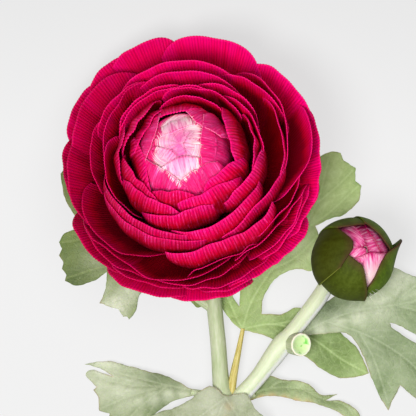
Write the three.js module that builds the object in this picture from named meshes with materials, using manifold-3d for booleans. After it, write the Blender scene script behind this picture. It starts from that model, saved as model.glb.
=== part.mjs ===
// A cut sprig of persian buttercup: one open bloom, one bud and their lobed leaves.
// It lies on a surface with the bloom facing up. Millimetres, +Z up.
// The drawing frame has x to the right and y up the main stem, with the open bloom near x 0, y 0.
// The whole sprig is then moved, so that the origin is on the surface in the middle of its footprint.
import * as THREE from "three";
import Module from "manifold-3d";

const wasm = await Module();
wasm.setup();

// The middle of the footprint in the drawing frame.
const FOOTPRINT_MIDDLE = { x: 22.75, y: -62.4 };

// The open bloom: where its base is, how far its axis leans and which way.
const BLOOM_BASE = new THREE.Vector3(3.2, -6.8, 10);
const BLOOM_LEAN = 22;
const BLOOM_LEAN_AZIMUTH = 115.6;
const PETAL_THICKNESS = 0.7;
const PETAL_COLUMNS = 4;
const PETAL_ROWS = 4;
const SMALL_PETAL_COLUMNS = 3;
const SMALL_PETAL_ROWS = 3;
const CORE_TOP = 36;
const NEAR_HEART = 20;
const SMALL_PETAL_RADIUS = 15;

// The bud: a ball of closed petals in five sepals.
const BUD_CENTRE = new THREE.Vector3(53.9, -30.5, 23.6);
const BUD_LEAN = 29.5;
const BUD_LEAN_AZIMUTH = 42;
const SEPAL_THICKNESS = 0.8;

// Stems, leaves and the room left between two pieces.
const STEM_RADIUS = 2.65;
const STEM_HEIGHT = 2.66;
const BUD_STEM_RADIUS = 2.8;
const STEM_SIDES = 12;
const LEAF_THICKNESS = 0.8;
const LEAF_GRID = 11;
const OUTLINE_STEP = 5;
const SEAT_GAP = 0.35;

// Detail under this size is merged, and points nearer than TOUCHING are drawn in by DRAWN_IN.
const SMALLEST_DETAIL = 0.05;
const TOUCHING = 0.004;
const DRAWN_IN = 0.01;

const material = (color, roughness) =>
  new THREE.MeshStandardMaterial({ color, roughness, metalness: 0, flatShading: true });

const MATERIALS = {
  petal: material("#b00038", 0.55),
  heart: material("#f6b3d2", 0.6),
  leaf: material("#9fb58c", 0.7),
  stem: material("#c6d7ac", 0.6),
  sepal: material("#46591a", 0.65),
  budPetal: material("#ee6cab", 0.55),
  calyx: material("#b9bd62", 0.65),
};

const radians = THREE.MathUtils.degToRad;

// Solids

function geometryOf(vertices, triangles) {
  const geometry = new THREE.BufferGeometry();
  geometry.setAttribute("position", new THREE.Float32BufferAttribute(vertices, 3));
  geometry.setIndex(triangles);
  return geometry;
}

function signedVolume(points, triangles) {
  let volume = 0;
  for (const [a, b, c] of triangles) {
    volume += points[a].dot(points[b].clone().cross(points[c])) / 6;
  }
  return volume;
}

function solidOf(points, triangles) {
  const outward = signedVolume(points, triangles) > 0;
  const faces = triangles.flatMap(([a, b, c]) => (outward ? [a, b, c] : [a, c, b]));
  const mesh = new wasm.Mesh({
    numProp: 3,
    vertProperties: new Float32Array(points.flatMap((p) => [p.x, p.y, p.z])),
    triVerts: new Uint32Array(faces),
  });
  return new wasm.Manifold(mesh);
}

// The largest shell of a solid, so that no loose scrap and no sealed hollow is left.
function largestShell(solid) {
  const { vertProperties, triVerts } = solid.getMesh();
  const points = [];
  for (let k = 0; k < vertProperties.length; k += 3) {
    points.push(new THREE.Vector3().fromArray(vertProperties, k));
  }
  const parent = points.map((_, k) => k);
  const find = (k) => {
    let root = k;
    while (parent[root] !== root) root = parent[root];
    parent[k] = root;
    return root;
  };
  const triangles = [];
  for (let k = 0; k < triVerts.length; k += 3) {
    const [a, b, c] = triVerts.subarray(k, k + 3);
    triangles.push([a, b, c]);
    parent[find(a)] = find(b);
    parent[find(b)] = find(c);
  }
  const shells = new Map();
  for (const triangle of triangles) {
    const root = find(triangle[0]);
    if (!shells.has(root)) shells.set(root, []);
    shells.get(root).push(triangle);
  }
  const sized = [...shells.values()].map((shell) => [signedVolume(points, shell), shell]);
  const [, best] = sized.reduce((most, item) => (item[0] > most[0] ? item : most));
  return solidOf(points, best);
}

function fuse(solids) {
  return largestShell(wasm.Manifold.union(solids));
}

// Draws in the points where a solid touches itself, so that its faces stand clear of each other.
function clearOfItself({ vertProperties, triVerts }) {
  const inward = new Float32Array(vertProperties.length);
  const corner = (k) => new THREE.Vector3().fromArray(vertProperties, 3 * k);
  for (let k = 0; k < triVerts.length; k += 3) {
    const [a, b, c] = triVerts.subarray(k, k + 3);
    const side = corner(c).sub(corner(a));
    const normal = side.cross(corner(b).sub(corner(a)));
    for (const vertex of [a, b, c]) {
      normal.toArray().forEach((value, axis) => (inward[3 * vertex + axis] += value));
    }
  }
  const cells = new Map();
  const cellOf = (k) => corner(k).divideScalar(TOUCHING).round().toArray().join();
  for (let k = 0; k < vertProperties.length / 3; k += 1) {
    const cell = cellOf(k);
    cells.set(cell, [...(cells.get(cell) ?? []), k]);
  }
  const moved = Float32Array.from(vertProperties);
  for (const group of cells.values()) {
    if (group.length < 2) continue;
    for (const vertex of group) {
      const way = new THREE.Vector3().fromArray(inward, 3 * vertex).setLength(DRAWN_IN);
      corner(vertex).add(way).toArray(moved, 3 * vertex);
    }
  }
  return moved;
}

function meshOf(name, solid, look) {
  const whole = largestShell(largestShell(solid).simplify(SMALLEST_DETAIL)).getMesh();
  const mesh = new THREE.Mesh(geometryOf(clearOfItself(whole), Array.from(whole.triVerts)), look);
  mesh.name = name;
  return mesh;
}

// A closed slab round a middle surface, split into triangles alike on both faces.
function slab(surface, columns, rows, thickness) {
  const middle = [];
  for (let j = 0; j <= rows; j += 1) {
    for (let i = 0; i <= columns; i += 1) {
      middle.push(surface(i / columns, j / rows));
    }
  }
  const at = (i, j) => j * (columns + 1) + i;
  const points = [];
  for (const side of [0.5, -0.5]) {
    for (let j = 0; j <= rows; j += 1) {
      for (let i = 0; i <= columns; i += 1) {
        const along = middle[at(Math.min(i + 1, columns), j)].clone();
        along.sub(middle[at(Math.max(i - 1, 0), j)]);
        const up = middle[at(i, Math.min(j + 1, rows))].clone();
        up.sub(middle[at(i, Math.max(j - 1, 0))]);
        const normal = along.cross(up).normalize();
        points.push(middle[at(i, j)].clone().addScaledVector(normal, side * thickness));
      }
    }
  }
  const back = middle.length;
  const triangles = [];
  for (let j = 0; j < rows; j += 1) {
    for (let i = 0; i < columns; i += 1) {
      const [a, b, c, d] = [at(i, j), at(i + 1, j), at(i + 1, j + 1), at(i, j + 1)];
      triangles.push([a, b, c], [a, c, d]);
      triangles.push([back + a, back + c, back + b], [back + a, back + d, back + c]);
    }
  }
  const rim = [];
  for (let i = 0; i < columns; i += 1) rim.push(at(i, 0));
  for (let j = 0; j < rows; j += 1) rim.push(at(columns, j));
  for (let i = columns; i > 0; i -= 1) rim.push(at(i, rows));
  for (let j = rows; j > 0; j -= 1) rim.push(at(0, j));
  rim.forEach((a, k) => {
    const b = rim[(k + 1) % rim.length];
    triangles.push([a, back + a, back + b], [a, back + b, b]);
  });
  return solidOf(points, triangles);
}

// A solid tube along a smooth route. Each stop is x, y, z and the radius there.
function tube(stops, sides, steps) {
  const route = new THREE.CatmullRomCurve3(stops.map(([x, y, z]) => new THREE.Vector3(x, y, z)));
  const frames = route.computeFrenetFrames(steps, false);
  const points = [];
  for (let k = 0; k <= steps; k += 1) {
    const t = k / steps;
    const centre = route.getPointAt(t);
    const place = route.getUtoTmapping(t) * (stops.length - 1);
    const low = Math.min(Math.floor(place), stops.length - 2);
    const radius = THREE.MathUtils.lerp(stops[low][3], stops[low + 1][3], place - low);
    for (let i = 0; i < sides; i += 1) {
      const turn = (2 * Math.PI * i) / sides;
      const point = centre.clone();
      point.addScaledVector(frames.normals[k], radius * Math.cos(turn));
      point.addScaledVector(frames.binormals[k], radius * Math.sin(turn));
      points.push(point);
    }
  }
  points.push(route.getPointAt(0), route.getPointAt(1));
  const [first, last] = [points.length - 2, points.length - 1];
  const triangles = [];
  for (let i = 0; i < sides; i += 1) {
    const j = (i + 1) % sides;
    for (let k = 0; k < steps; k += 1) {
      const [a, b] = [k * sides + i, k * sides + j];
      triangles.push([a, b, b + sides], [a, b + sides, a + sides]);
    }
    triangles.push([first, j, i], [last, steps * sides + i, steps * sides + j]);
  }
  return solidOf(points, triangles);
}

// A solid of revolution about +Z. The profile starts and ends on the axis, from the bottom up.
function turned(profile, sides) {
  const points = [];
  const inner = profile.slice(1, -1);
  for (const [radius, z] of inner) {
    for (let i = 0; i < sides; i += 1) {
      const turn = (2 * Math.PI * i) / sides;
      points.push(new THREE.Vector3(radius * Math.cos(turn), radius * Math.sin(turn), z));
    }
  }
  const bottom = points.push(new THREE.Vector3(0, 0, profile[0][1])) - 1;
  const top = points.push(new THREE.Vector3(0, 0, profile[profile.length - 1][1])) - 1;
  const triangles = [];
  for (let i = 0; i < sides; i += 1) {
    const j = (i + 1) % sides;
    for (let k = 0; k < inner.length - 1; k += 1) {
      const [a, b] = [k * sides + i, k * sides + j];
      triangles.push([a, b, b + sides], [a, b + sides, a + sides]);
    }
    const rim = (inner.length - 1) * sides;
    triangles.push([bottom, j, i], [top, rim + i, rim + j]);
  }
  return solidOf(points, triangles);
}

// A frame that leans by a number of degrees towards an azimuth, with its origin at a point.
function leaning(origin, lean, azimuth) {
  const turn = radians(azimuth);
  const axis = new THREE.Vector3(-Math.sin(turn), Math.cos(turn), 0);
  const matrix = new THREE.Matrix4().makeRotationAxis(axis, radians(lean));
  return matrix.setPosition(origin);
}

function placed(solid, matrix) {
  return solid.transform(matrix.elements);
}

const BLOOM_FRAME = leaning(BLOOM_BASE, BLOOM_LEAN, BLOOM_LEAN_AZIMUTH);
const BUD_FRAME = leaning(BUD_CENTRE, BUD_LEAN, BUD_LEAN_AZIMUTH);

// Petals of the open bloom
// Each petal is: azimuth of its middle and its span in degrees, rim radius and how far the rim lies
// under the dome in mm, lean of the rim from upright in degrees (outwards is positive), skew and curl
// in mm, and the share by which its corners are shorter than its middle. Skew moves the anticlockwise
// side out and the other in, and curl moves both sides out.

const GUARD_PETALS = [
  [115, 62, 41, 22.7, 95, 0, 0, 0.2],
  [160, 58, 42, 19.7, 92, 1, 0, 0.2],
  [72, 58, 42, 19.7, 92, -1, 0, 0.2],
  [205, 54, 41.5, 16.3, 88, 1, 0, 0.2],
  [248, 52, 41.5, 16.7, 84, 1, 0, 0.2],
  [290, 54, 40, 19.7, 84, 0, 0, 0.2],
  [322, 46, 40, 18.7, 84, 1, 0, 0.2],
  [352, 48, 41, 14.3, 80, 0, 0, 0.2],
  [30, 56, 42.6, 15, 85, 1, 0, 0.2],
];

const OUTER_PETALS = [
  [5, 66, 41.6, 0, 25, 4, -2.5, 0.25],
  [40, 56, 43.4, 2, 38, -1.6, 0, 0.2],
  [17, 48, 43.8, 5, 50, 0, 0, 0.2],
  [355, 44, 43.9, 5, 55, 0, 0, 0.2],
  [80, 68, 44.4, 0, 40, 1.5, 0, 0.33],
  [114, 46, 46.7, 0, 40, 0, 0, 0.3],
  [130, 38, 46.4, 1, 45, 0, 0, 0.25],
  [150, 44, 45.4, 2, 48, -0.5, 0, 0.25],
  [180, 48, 42.9, 4, 50, -0.8, 0, 0.2],
  [151, 76, 41.4, 0, 38, -1.6, 0, 0.27],
  [188, 62, 40.8, 0, 35, 0, 0, 0.2],
  [224, 76, 39.4, 0, 25, -1.2, -4, 0.2],
  [226, 50, 41, 1, 30, 0, 0, 0.2],
  [232, 60, 42.4, 1.5, 35, 0.5, 0, 0.2],
  [220, 50, 44.3, 5, 50, 0.5, 0, 0.2],
  [265, 72, 42.4, 0, 25, -1.5, -4, 0.22],
  [278, 56, 43.2, 0.5, 28, -1.2, -2.5, 0.2],
  [250, 46, 44.4, 2, 38, 0, -1, 0.2],
  [289, 56, 45, 2, 35, -0.6, -2.2, 0.22],
  [249, 46, 45.7, 8, 65, 0, -1, 0.15],
  [279, 42, 46, 10, 75, 0, -0.5, 0.2],
  [300, 40, 45, 6, 60, 0, 0, 0.15],
  [319, 42, 45.6, 7, 62, 0, -1, 0.22],
  [339, 40, 44.1, 6, 60, 0, -0.5, 0.2],
  [289, 34, 45.9, 4, 45, 0, -1, 0.2],
  [325, 50, 42.4, 1, 30, 0, -1, 0.2],
  [328, 50, 42.7, 3, 45, -0.3, 0, 0.15],
  [322, 56, 40, 0, 22, 1.2, 0, 0.12],
  [290, 40, 38.8, 0, 20, -1, 0, 0.1],
  [330, 56, 38.4, 0, 15, 1, 0, 0.15],
  [295, 72, 33.7, 0, -50, 0, 3, 0.08],
];

const MIDDLE_PETALS = [
  [25, 88, 35.7, 0, 5, 1.6, -1, 0.2],
  [46, 60, 33.6, 0, 8, -2.4, 0, 0.2],
  [9, 76, 33, 0, -5, 0.8, 0, 0.2],
  [97, 92, 33.8, 0, 20, 1.2, 0, 0.2],
  [141, 54, 32, 0, 15, 0, 0, 0.15],
  [174, 56, 32.1, 0, 10, 0, 0, 0.15],
  [84, 86, 28.6, 0, 10, 2, 0.8, 0.12],
  [146, 70, 29.4, 0, 0, -1.6, 0, 0.15],
  [246, 96, 30.4, 0, -30, 0, 0, 0.16],
  [325, 80, 32, 0, -15, 1, 0, 0.2],
  [300, 80, 27.6, 0, -45, 0, 1, 0.12],
  [238, 100, 28.3, 0, -40, 0, -0.6, 0.16],
];

const INNER_PETALS = [
  [56, 74, 25.9, 0, 8, -2.2, 0, 0.2],
  [30, 76, 25.5, 0, 5, -1.8, -0.5, 0.2],
  [336, 66, 24, 0, -35, 1.9, 0, 0.2],
  [269, 76, 22.6, 0, -40, -1.8, -0.8, 0.2],
  [298, 80, 17.9, 0, -50, 1.2, 1, 0.2],
  [236, 76, 19.8, 0, -45, 0, 1.2, 0.2],
  [215, 76, 18, 0, -45, 0, 0.6, 0.2],
  [176, 60, 20.7, 0, -35, 0, 1.4, 0.2],
  [196, 80, 27.2, 0, 0, 0.2, -1.6, 0.2],
  [126, 82, 24.5, 0, 8, 0, 0, 0.15],
  [126, 78, 23.2, 0, 0, 0, 0, 0.15],
  [86, 54, 22.7, 0, 0, -0.4, 0, 0.15],
  [74, 82, 22.3, 0, -5, -0.3, 0, 0.15],
  [8, 66, 23.9, 0, -10, 0, -0.5, 0.2],
  [322, 68, 15.9, 0, -50, 1.3, 1.2, 0.2],
  [15, 82, 16.2, 0, -50, 0, 1.2, 0.2],
  [82, 80, 18.2, 0, -8, -0.3, 0, 0.12],
  [148, 72, 17.5, 0, -50, 0, 1.5, 0.2],
  [261, 64, 15.7, 0, -50, 0, 0.6, 0.2],
];

const ROSETTE_PETALS = [
  [150, 70, 13.8, 0.8, -50, 0, 1.5, 0.1],
  [198, 72, 13.1, 0.6, -50, 0, 3, 0.1],
  [102, 66, 12, 0.4, -55, 0, 1.5, 0.1],
  [165, 90, 9.5, 0.15, -60, 0, 3, 0.1],
  [235, 90, 10.1, 0.1, -60, 0, 2.4, 0.1],
  [300, 76, 10.2, 0.1, -60, 0, 2, 0.1],
  [52, 80, 9.5, 0.1, -60, 0, 2.6, 0.1],
  [0, 120, 6.7, 0, -66, 0, 4.6, 0.1],
];

const HEART_PETALS = [
  [170, 120, 0.7, 1.2, -84, 0, 1, 0.1],
  [50, 84, 2.6, 1.05, -82, 0, 1, 0.1],
  [355, 130, 0.9, 0.85, -84, 0, 1, 0.1],
  [230, 104, 3.1, 0.65, -80, 0, 2.2, 0.1],
  [110, 120, 4.6, 0.4, -78, 0, 2, 0.1],
  [280, 104, 4.5, 0.15, -78, 0, 2.2, 0.1],
];

// The height of the dome on which the rims lie falls with the radius and its square.
const DOME_TOP = 44.5;
const DOME_SLOPE = 0.17;
const DOME_BEND = 0.0055;

// A petal is shorter at its corners, and there its rim is led back towards the circle that it lies on.
const CORNER_POWER = 3.5;
const TUCK_INWARD = 0.2;
const TUCK_OUTWARD = 0.12;

const dome = (radius) => DOME_TOP - DOME_SLOPE * radius - DOME_BEND * radius * radius;

// The middle surface of a petal: a fan from its root on the receptacle to its rim.
function petalSurface([azimuth, span, radius, low, lean, skew, curl, cut]) {
  const share = radius / 45;
  const root = new THREE.Vector2(2 + 3 * share, 8 - 6 * share);
  const rise = radians(THREE.MathUtils.lerp(30, 15, share));
  const reach = 0.4 * Math.hypot(radius - root.x, dome(radius) - low - root.y);
  const first = new THREE.Vector2(Math.cos(rise), Math.sin(rise)).multiplyScalar(reach).add(root);
  const turn = radians(lean);
  const tuck = Math.sin(turn) * (lean > 0 ? TUCK_OUTWARD : TUCK_INWARD);
  return (across, along) => {
    const u = 2 * across - 1;
    const corner = Math.abs(u) ** CORNER_POWER;
    const v = along * (1 - cut * corner);
    const rimRadius = radius * (1 + tuck * corner) + skew * u + curl * u * u;
    const rim = new THREE.Vector2(rimRadius, dome(rimRadius) - low);
    const second = new THREE.Vector2(-Math.sin(turn), -Math.cos(turn)).multiplyScalar(reach).add(rim);
    const place = new THREE.CubicBezierCurve(root, first, second, rim).getPoint(v);
    const angle = radians(azimuth + 0.5 * span * u * (0.7 + 0.3 * v));
    return new THREE.Vector3(place.x * Math.cos(angle), place.x * Math.sin(angle), place.y);
  };
}

function petal(shape, thickness) {
  const surface = petalSurface(shape);
  const small = shape[2] < SMALL_PETAL_RADIUS;
  const columns = small ? SMALL_PETAL_COLUMNS : PETAL_COLUMNS;
  const rows = small ? SMALL_PETAL_ROWS : PETAL_ROWS;
  const placedSurface = (across, along) => {
    const point = surface(across, along).applyMatrix4(BLOOM_FRAME);
    point.z = Math.max(point.z, thickness / 2);
    return point;
  };
  return slab(placedSurface, columns, rows, thickness);
}

// The body that the petals stand out of, lower than every rim.
const CORE_PROFILE = [
  [0, 0.6], [6.5, 0.6], [16, 4], [26, 8], [34, 15], [37, 21],
  [33, 25], [28, 28], [20, 31], [14, 34], [9, CORE_TOP], [0, CORE_TOP],
];

const stemAllowance = fuse([
  tube(mainStemStops(SEAT_GAP), STEM_SIDES, 40),
  tube(budStemStops(SEAT_GAP), STEM_SIDES, 16),
  tube(stubStops(SEAT_GAP), STEM_SIDES, 3),
]);

function bloomPetals() {
  const rings = [...GUARD_PETALS, ...OUTER_PETALS, ...MIDDLE_PETALS, ...INNER_PETALS, ...ROSETTE_PETALS];
  const petals = rings.map((shape) => petal(shape, PETAL_THICKNESS));
  const core = placed(turned(CORE_PROFILE, 20), BLOOM_FRAME);
  return fuse([core, ...petals]).subtract(stemAllowance);
}

// The round middle that carries the innermost petals.
const HEART_PROFILE = [[0, 33], [6, 33], [9.5, 37], [9, 40.5], [5, 42.8], [0, 43.6]];

function bloomHeart(room) {
  const petals = HEART_PETALS.map((shape) => petal(shape, PETAL_THICKNESS));
  return fuse([placed(turned(HEART_PROFILE, 12), BLOOM_FRAME), ...petals]).subtract(room);
}

// What the heart keeps clear of: the body and the petals round it, a little larger.
function heartRoom() {
  const near = [...ROSETTE_PETALS, ...INNER_PETALS.filter(([, , radius]) => radius < NEAR_HEART)];
  const petals = near.map((shape) => petal(shape, PETAL_THICKNESS + 2 * SEAT_GAP));
  const grown = CORE_PROFILE.map(([radius, z]) => [radius, z + SEAT_GAP]);
  return wasm.Manifold.union([placed(turned(grown, 20), BLOOM_FRAME), ...petals]);
}

// Five sepals turned back under the bloom, on a ring at the top of the stem.
const CALYX_AZIMUTHS = [20, 92, 164, 236, 308];
const CALYX_INNER_RADIUS = 3.4;
const CALYX_LENGTH = 13;
const CALYX_HALF_WIDTH = 26;
const CALYX_TIP_HALF_WIDTH = 4;
const CALYX_ARCH = 1.6;
const CALYX_DROP = 0.7;
const CALYX_RING = [[0, -1.4], [5, -1.4], [5.6, -0.6], [5, 0.1], [0, 0.1]];

function bloomCalyx() {
  const sepals = CALYX_AZIMUTHS.map((azimuth) => {
    const surface = (across, along) => {
      const u = 2 * across - 1;
      const radius = CALYX_INNER_RADIUS + CALYX_LENGTH * along;
      const half = CALYX_HALF_WIDTH * (1 - along ** 3) + CALYX_TIP_HALF_WIDTH;
      const angle = radians(azimuth + half * u);
      const z = CALYX_ARCH * along * (1 - along) - CALYX_DROP;
      return new THREE.Vector3(radius * Math.cos(angle), radius * Math.sin(angle), z);
    };
    return placed(slab(surface, 3, 4, SEPAL_THICKNESS), BLOOM_FRAME);
  });
  return fuse([placed(turned(CALYX_RING, 14), BLOOM_FRAME), ...sepals]).subtract(stemAllowance);
}

// The bud
// Each leaf of the bud is: azimuth of its middle, half its width and how near its tip comes to the
// axis, in degrees, its radius in mm, the shares by which its clockwise and its anticlockwise side
// are shorter than its tip, and how far its anticlockwise side stands off, in mm.

const BUD_SEPALS = [
  [175, 43, 21.5, 13.8, 0.33, 0.2, 0],
  [240, 46, 28, 13.5, 0.05, 0.5, 0.8],
  [331, 50, 31, 13.5, 0.24, 0.28, 3.7],
  [45, 42, 30, 13.9, 0.1, 0.08, 0],
  [103, 36, 39, 13.6, 0.14, 0.1, 0.5],
];

const BUD_PETALS = [
  [20, 85, 1, 10.9, 0.04, 0.04, 0],
  [130, 56, 2, 11.1, 0.2, 0.04, 0],
  [222, 42, 3, 11.3, 0.04, 0.06, 0],
  [32, 48, 21, 11.4, 0.1, 0.1, 0],
  [286, 75, 9, 11.7, 0.23, 0.32, 0],
];

// Degrees from the axis at which sepals and petals start, and how deep the petals' roots sink.
const SEPAL_ROOT = 166;
const BUD_PETAL_ROOT = 118;
const BUD_PETAL_SINK = 2.2;
const SIDE_POWER = 3;
const STAND_OFF_WIDTH = 0.45;

// The ball of tight petals inside, and the foot where the stem swells into the sepals.
const BUD_CORE_RADIUS = 9.8;
const BUD_FOOT = [[0, 0, -14.6, 3.2], [0, 0, -13, 4.6]];

function budSurface([azimuth, halfWidth, tip, radius, clockwise, anticlockwise, standOff], rootAngle, sink) {
  return (across, along) => {
    const u = 2 * across - 1;
    const v = along * (1 - (u < 0 ? clockwise : anticlockwise) * Math.abs(u) ** SIDE_POWER);
    const polar = radians(THREE.MathUtils.lerp(rootAngle, tip, v));
    const angle = radians(azimuth + halfWidth * u);
    const lifted = standOff * along ** 3 * Math.exp(-(((u - 1) / STAND_OFF_WIDTH) ** 2));
    const r = radius + 0.25 * u + lifted - sink * (1 - v) ** 3;
    const sine = Math.sin(polar);
    return new THREE.Vector3(r * sine * Math.cos(angle), r * sine * Math.sin(angle), r * Math.cos(polar));
  };
}

function budLeaves(shapes, rootAngle, sink, thickness, columns, rows) {
  return shapes.map((shape) => {
    const surface = budSurface(shape, rootAngle, sink);
    return placed(slab(surface, columns, rows, thickness), BUD_FRAME);
  });
}

function ball(radius, sides) {
  const profile = Array.from({ length: 7 }, (_, k) => {
    const polar = Math.PI * (1 - k / 6);
    return [radius * Math.sin(polar), radius * Math.cos(polar)];
  });
  return placed(turned(profile, sides), BUD_FRAME);
}

function budPetals() {
  const petals = budLeaves(BUD_PETALS, BUD_PETAL_ROOT, BUD_PETAL_SINK, PETAL_THICKNESS, 4, 4);
  return fuse([ball(BUD_CORE_RADIUS, 12), ...petals]);
}

function budSepals() {
  const foot = placed(tube(BUD_FOOT, STEM_SIDES, 1), BUD_FRAME);
  const sepals = budLeaves(BUD_SEPALS, SEPAL_ROOT, 0, SEPAL_THICKNESS, 5, 5);
  return fuse([foot, ...sepals]).subtract(stemAllowance);
}

// Stems
// Each stop is x, y, z and the radius there, with room added where a neighbour is cut back.

function withRoom(stops, room) {
  const pushed = (from, to) => {
    const end = new THREE.Vector3(...to.slice(0, 3));
    const way = end.clone().sub(new THREE.Vector3(...from.slice(0, 3)));
    return [...end.add(way.setLength(room)).toArray(), to[3] + room];
  };
  const last = stops.length - 1;
  const wide = stops.map(([x, y, z, radius]) => [x, y, z, radius + room]);
  if (room > 0) {
    wide[0] = pushed(stops[1], stops[0]);
    wide[last] = pushed(stops[last - 1], stops[last]);
  }
  return wide;
}

function mainStemStops(room) {
  return withRoom([
    [4, -168, STEM_HEIGHT, STEM_RADIUS],
    [7.5, -140, STEM_HEIGHT, STEM_RADIUS],
    [10.5, -108, STEM_HEIGHT + 0.1, STEM_RADIUS],
    [11.3, -90, 3.3, 2.9],
    [11.4, -80, 4.4, 4.2],
    [10, -73, 4.5, 3],
    [8.9, -59, 4.6, STEM_RADIUS],
    [7.4, -44, 5, STEM_RADIUS],
    [6, -28, 4.6, STEM_RADIUS],
    [5.2, -17, 4.1, STEM_RADIUS],
    [4.4, -10.4, 6, STEM_RADIUS],
    [3.4, -7.2, 9, 3],
  ], room);
}

function budStemStops(room) {
  return withRoom([
    [11.6, -82, 4.6, 2.6],
    [16, -77, 5.4, BUD_STEM_RADIUS],
    [22, -70.5, 6.6, BUD_STEM_RADIUS],
    [30.5, -59, 8.2, 3.5],
    [33, -56, 8.4, BUD_STEM_RADIUS],
    [42, -44.5, 7.6, BUD_STEM_RADIUS],
    [46, -38.4, 8.2, 2.7],
    [48.8, -35.3, 11.2, 2.6],
  ], room);
}

function stubStops(room) {
  return withRoom([
    [31.5, -58.7, 7.4, 3.1],
    [34.6, -59, 9.6, 3.7],
    [36.6, -59.2, 12.8, 3.9],
  ], room);
}

function stems() {
  return fuse([
    tube(mainStemStops(0), STEM_SIDES, 40),
    tube(budStemStops(0), STEM_SIDES, 16),
    tube(stubStops(0), STEM_SIDES, 3),
  ]);
}

// Leaves
// An outline goes once round the leaf in plan. A point marked SHARP is a corner, and the edge runs
// smoothly through the others. Knots are x, y and the height of the blade's middle there.

const SHARP = true;

const LEAF_A = {
  outline: [
    [17, -54.5, SHARP], [20, -55], [23.5, -56], [28, -58], [33, -61], [37.5, -63], [43, -67],
    [48, -70], [54, -70.5], [59.5, -69, SHARP], [56.5, -62], [53, -58], [49, -54.5], [43.5, -50.5],
    [39, -47.5], [35, -47], [30, -49], [23.5, -49, SHARP], [24, -44], [27, -38.5], [31.5, -35],
    [36, -34], [40.5, -34.5], [43.5, -31], [43.5, -25], [41.5, -19.5, SHARP], [47, -17], [51.5, -15.5],
    [56, -11], [57, -6, SHARP], [55, -4.5, SHARP], [55, 0, SHARP], [51, 2.5, SHARP], [50, 5, SHARP],
    [47, 5.5], [43.5, 4], [39, 0], [35.5, -7.5], [32, -16], [25.5, -25], [19.5, -33], [16.5, -40],
    [16, -46.5, SHARP], [14, -43.5], [13, -39.5], [11, -36], [8, -36], [8, -41], [10, -46.5],
    [12.5, -50.5], [15, -53],
  ],
  knots: [
    [17, -54, 4], [28, -53, 3.4], [42, -60, 1.8], [59, -69, 0.2], [20, -40, 3.4], [36, -29, 2.4],
    [52, -12, 0.3], [47, 5, 0.2], [56, -4, 0.2], [30, -12, 1.6], [9, -38, 1.4], [13, -47, 2.2],
  ],
  petiole: [[13, -77.5, 5.4, 1.5], [14, -70, 5, 1.35], [15.6, -62, 4.6, 1], [17.2, -54, 3.9, 0.7]],
};

const LEAF_B = {
  outline: [
    [36, -57, SHARP], [41, -56], [47, -55.5], [52, -55.5], [55, -58.5], [57.5, -63], [60, -69.5],
    [63, -76.5], [66, -81.5, SHARP], [68.5, -76], [70, -73, SHARP], [73.5, -76], [78, -79],
    [85, -81, SHARP], [86, -75.5], [84.5, -69], [81, -63.5], [75.5, -59], [70.5, -56],
    [67, -53.5, SHARP], [66.5, -52, SHARP], [70, -53], [75, -56], [81, -58.5], [90, -58, SHARP],
    [89.5, -52.5], [87, -49, SHARP], [89, -44], [87, -40, SHARP], [82, -38], [75, -36.5], [68, -33.5],
    [62, -32], [55.5, -35.5], [49.5, -42], [44.5, -45.5], [40, -50], [37, -54],
  ],
  knots: [
    [36, -56, 5], [44, -52, 5.6], [55, -48, 5.4], [56, -60, 4.2], [66, -80, 0.2], [60, -68, 2.6],
    [85, -80, 0.2], [74, -66, 2.2], [90, -57, 0.2], [78, -48, 2], [87, -40, 0.2], [62, -34, 3.4],
    [50, -42, 4.2],
  ],
  petiole: [[31.5, -58.6, 5.2, 1.6], [34.5, -57.2, 5.2, 1.6], [38, -55.2, 5.2, 1.2]],
};

const LEAF_C = {
  outline: [
    [5, -48, SHARP], [4, -46.5], [2, -47], [0, -45], [-5, -42], [-12, -40.5], [-17, -42], [-18, -45],
    [-19, -48.5], [-21, -51, SHARP], [-21.5, -50], [-23, -50, SHARP], [-24.5, -47.5, SHARP],
    [-31, -45.5, SHARP], [-29, -41], [-28.5, -35, SHARP], [-33, -38], [-38.5, -39.5],
    [-42.5, -38, SHARP], [-42, -36, SHARP], [-43.5, -34, SHARP], [-43, -32], [-44.5, -29.5, SHARP],
    [-43.5, -27, SHARP], [-44.5, -25, SHARP], [-43, -22.5], [-38.5, -20], [-34.5, -18, SHARP],
    [-38.5, -16.5], [-42, -11.5], [-43.5, -6], [-44, -2, SHARP], [-41, 1.5], [-36.5, 2], [-32, -1.5],
    [-26.5, -9.5], [-20, -17], [-11, -24], [-3, -33], [5, -44, SHARP],
  ],
  knots: [
    [5, -46, 4.8], [-4, -38, 4.2], [-16, -32, 3], [-22, -50, 0.2], [-30, -44, 0.2], [-42, -37, 0.2],
    [-38, -28, 0.3], [-44, -24, 0.2], [-42, -4, 0.2], [-36, -2, 0.2], [-28, -18, 1.6],
  ],
  petiole: [[7, -47.4, 5, 1.5], [3, -44.6, 4.8, 1.5], [-4, -39, 4.3, 1.1], [-12, -33, 3.5, 0.8]],
};

const LEAF_E = {
  outline: [
    [17, -75, SHARP], [19, -72.5], [22, -70.5], [25, -69.5], [30.5, -71], [36, -71.5], [40, -73],
    [43, -76], [49, -76, SHARP], [45, -78, SHARP], [51, -78.5], [55, -81], [58, -87],
    [58.5, -91.5, SHARP], [55, -88.5], [52, -84], [47, -81], [41, -79], [35, -78], [28, -76.5],
    [23, -77], [18.5, -78.5, SHARP],
  ],
  knots: [
    [18, -77, 4.4], [24, -71, 2.6], [26, -76, 5.2], [36, -72, 2.2], [38, -78, 4.6], [49, -76, 1.4],
    [50, -82, 2.6], [58, -90, 0.2],
  ],
  petiole: [[13, -79.6, 4.4, 1.5], [17, -77.6, 4.4, 1.5], [21, -75.8, 4.4, 1.2]],
};

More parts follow.
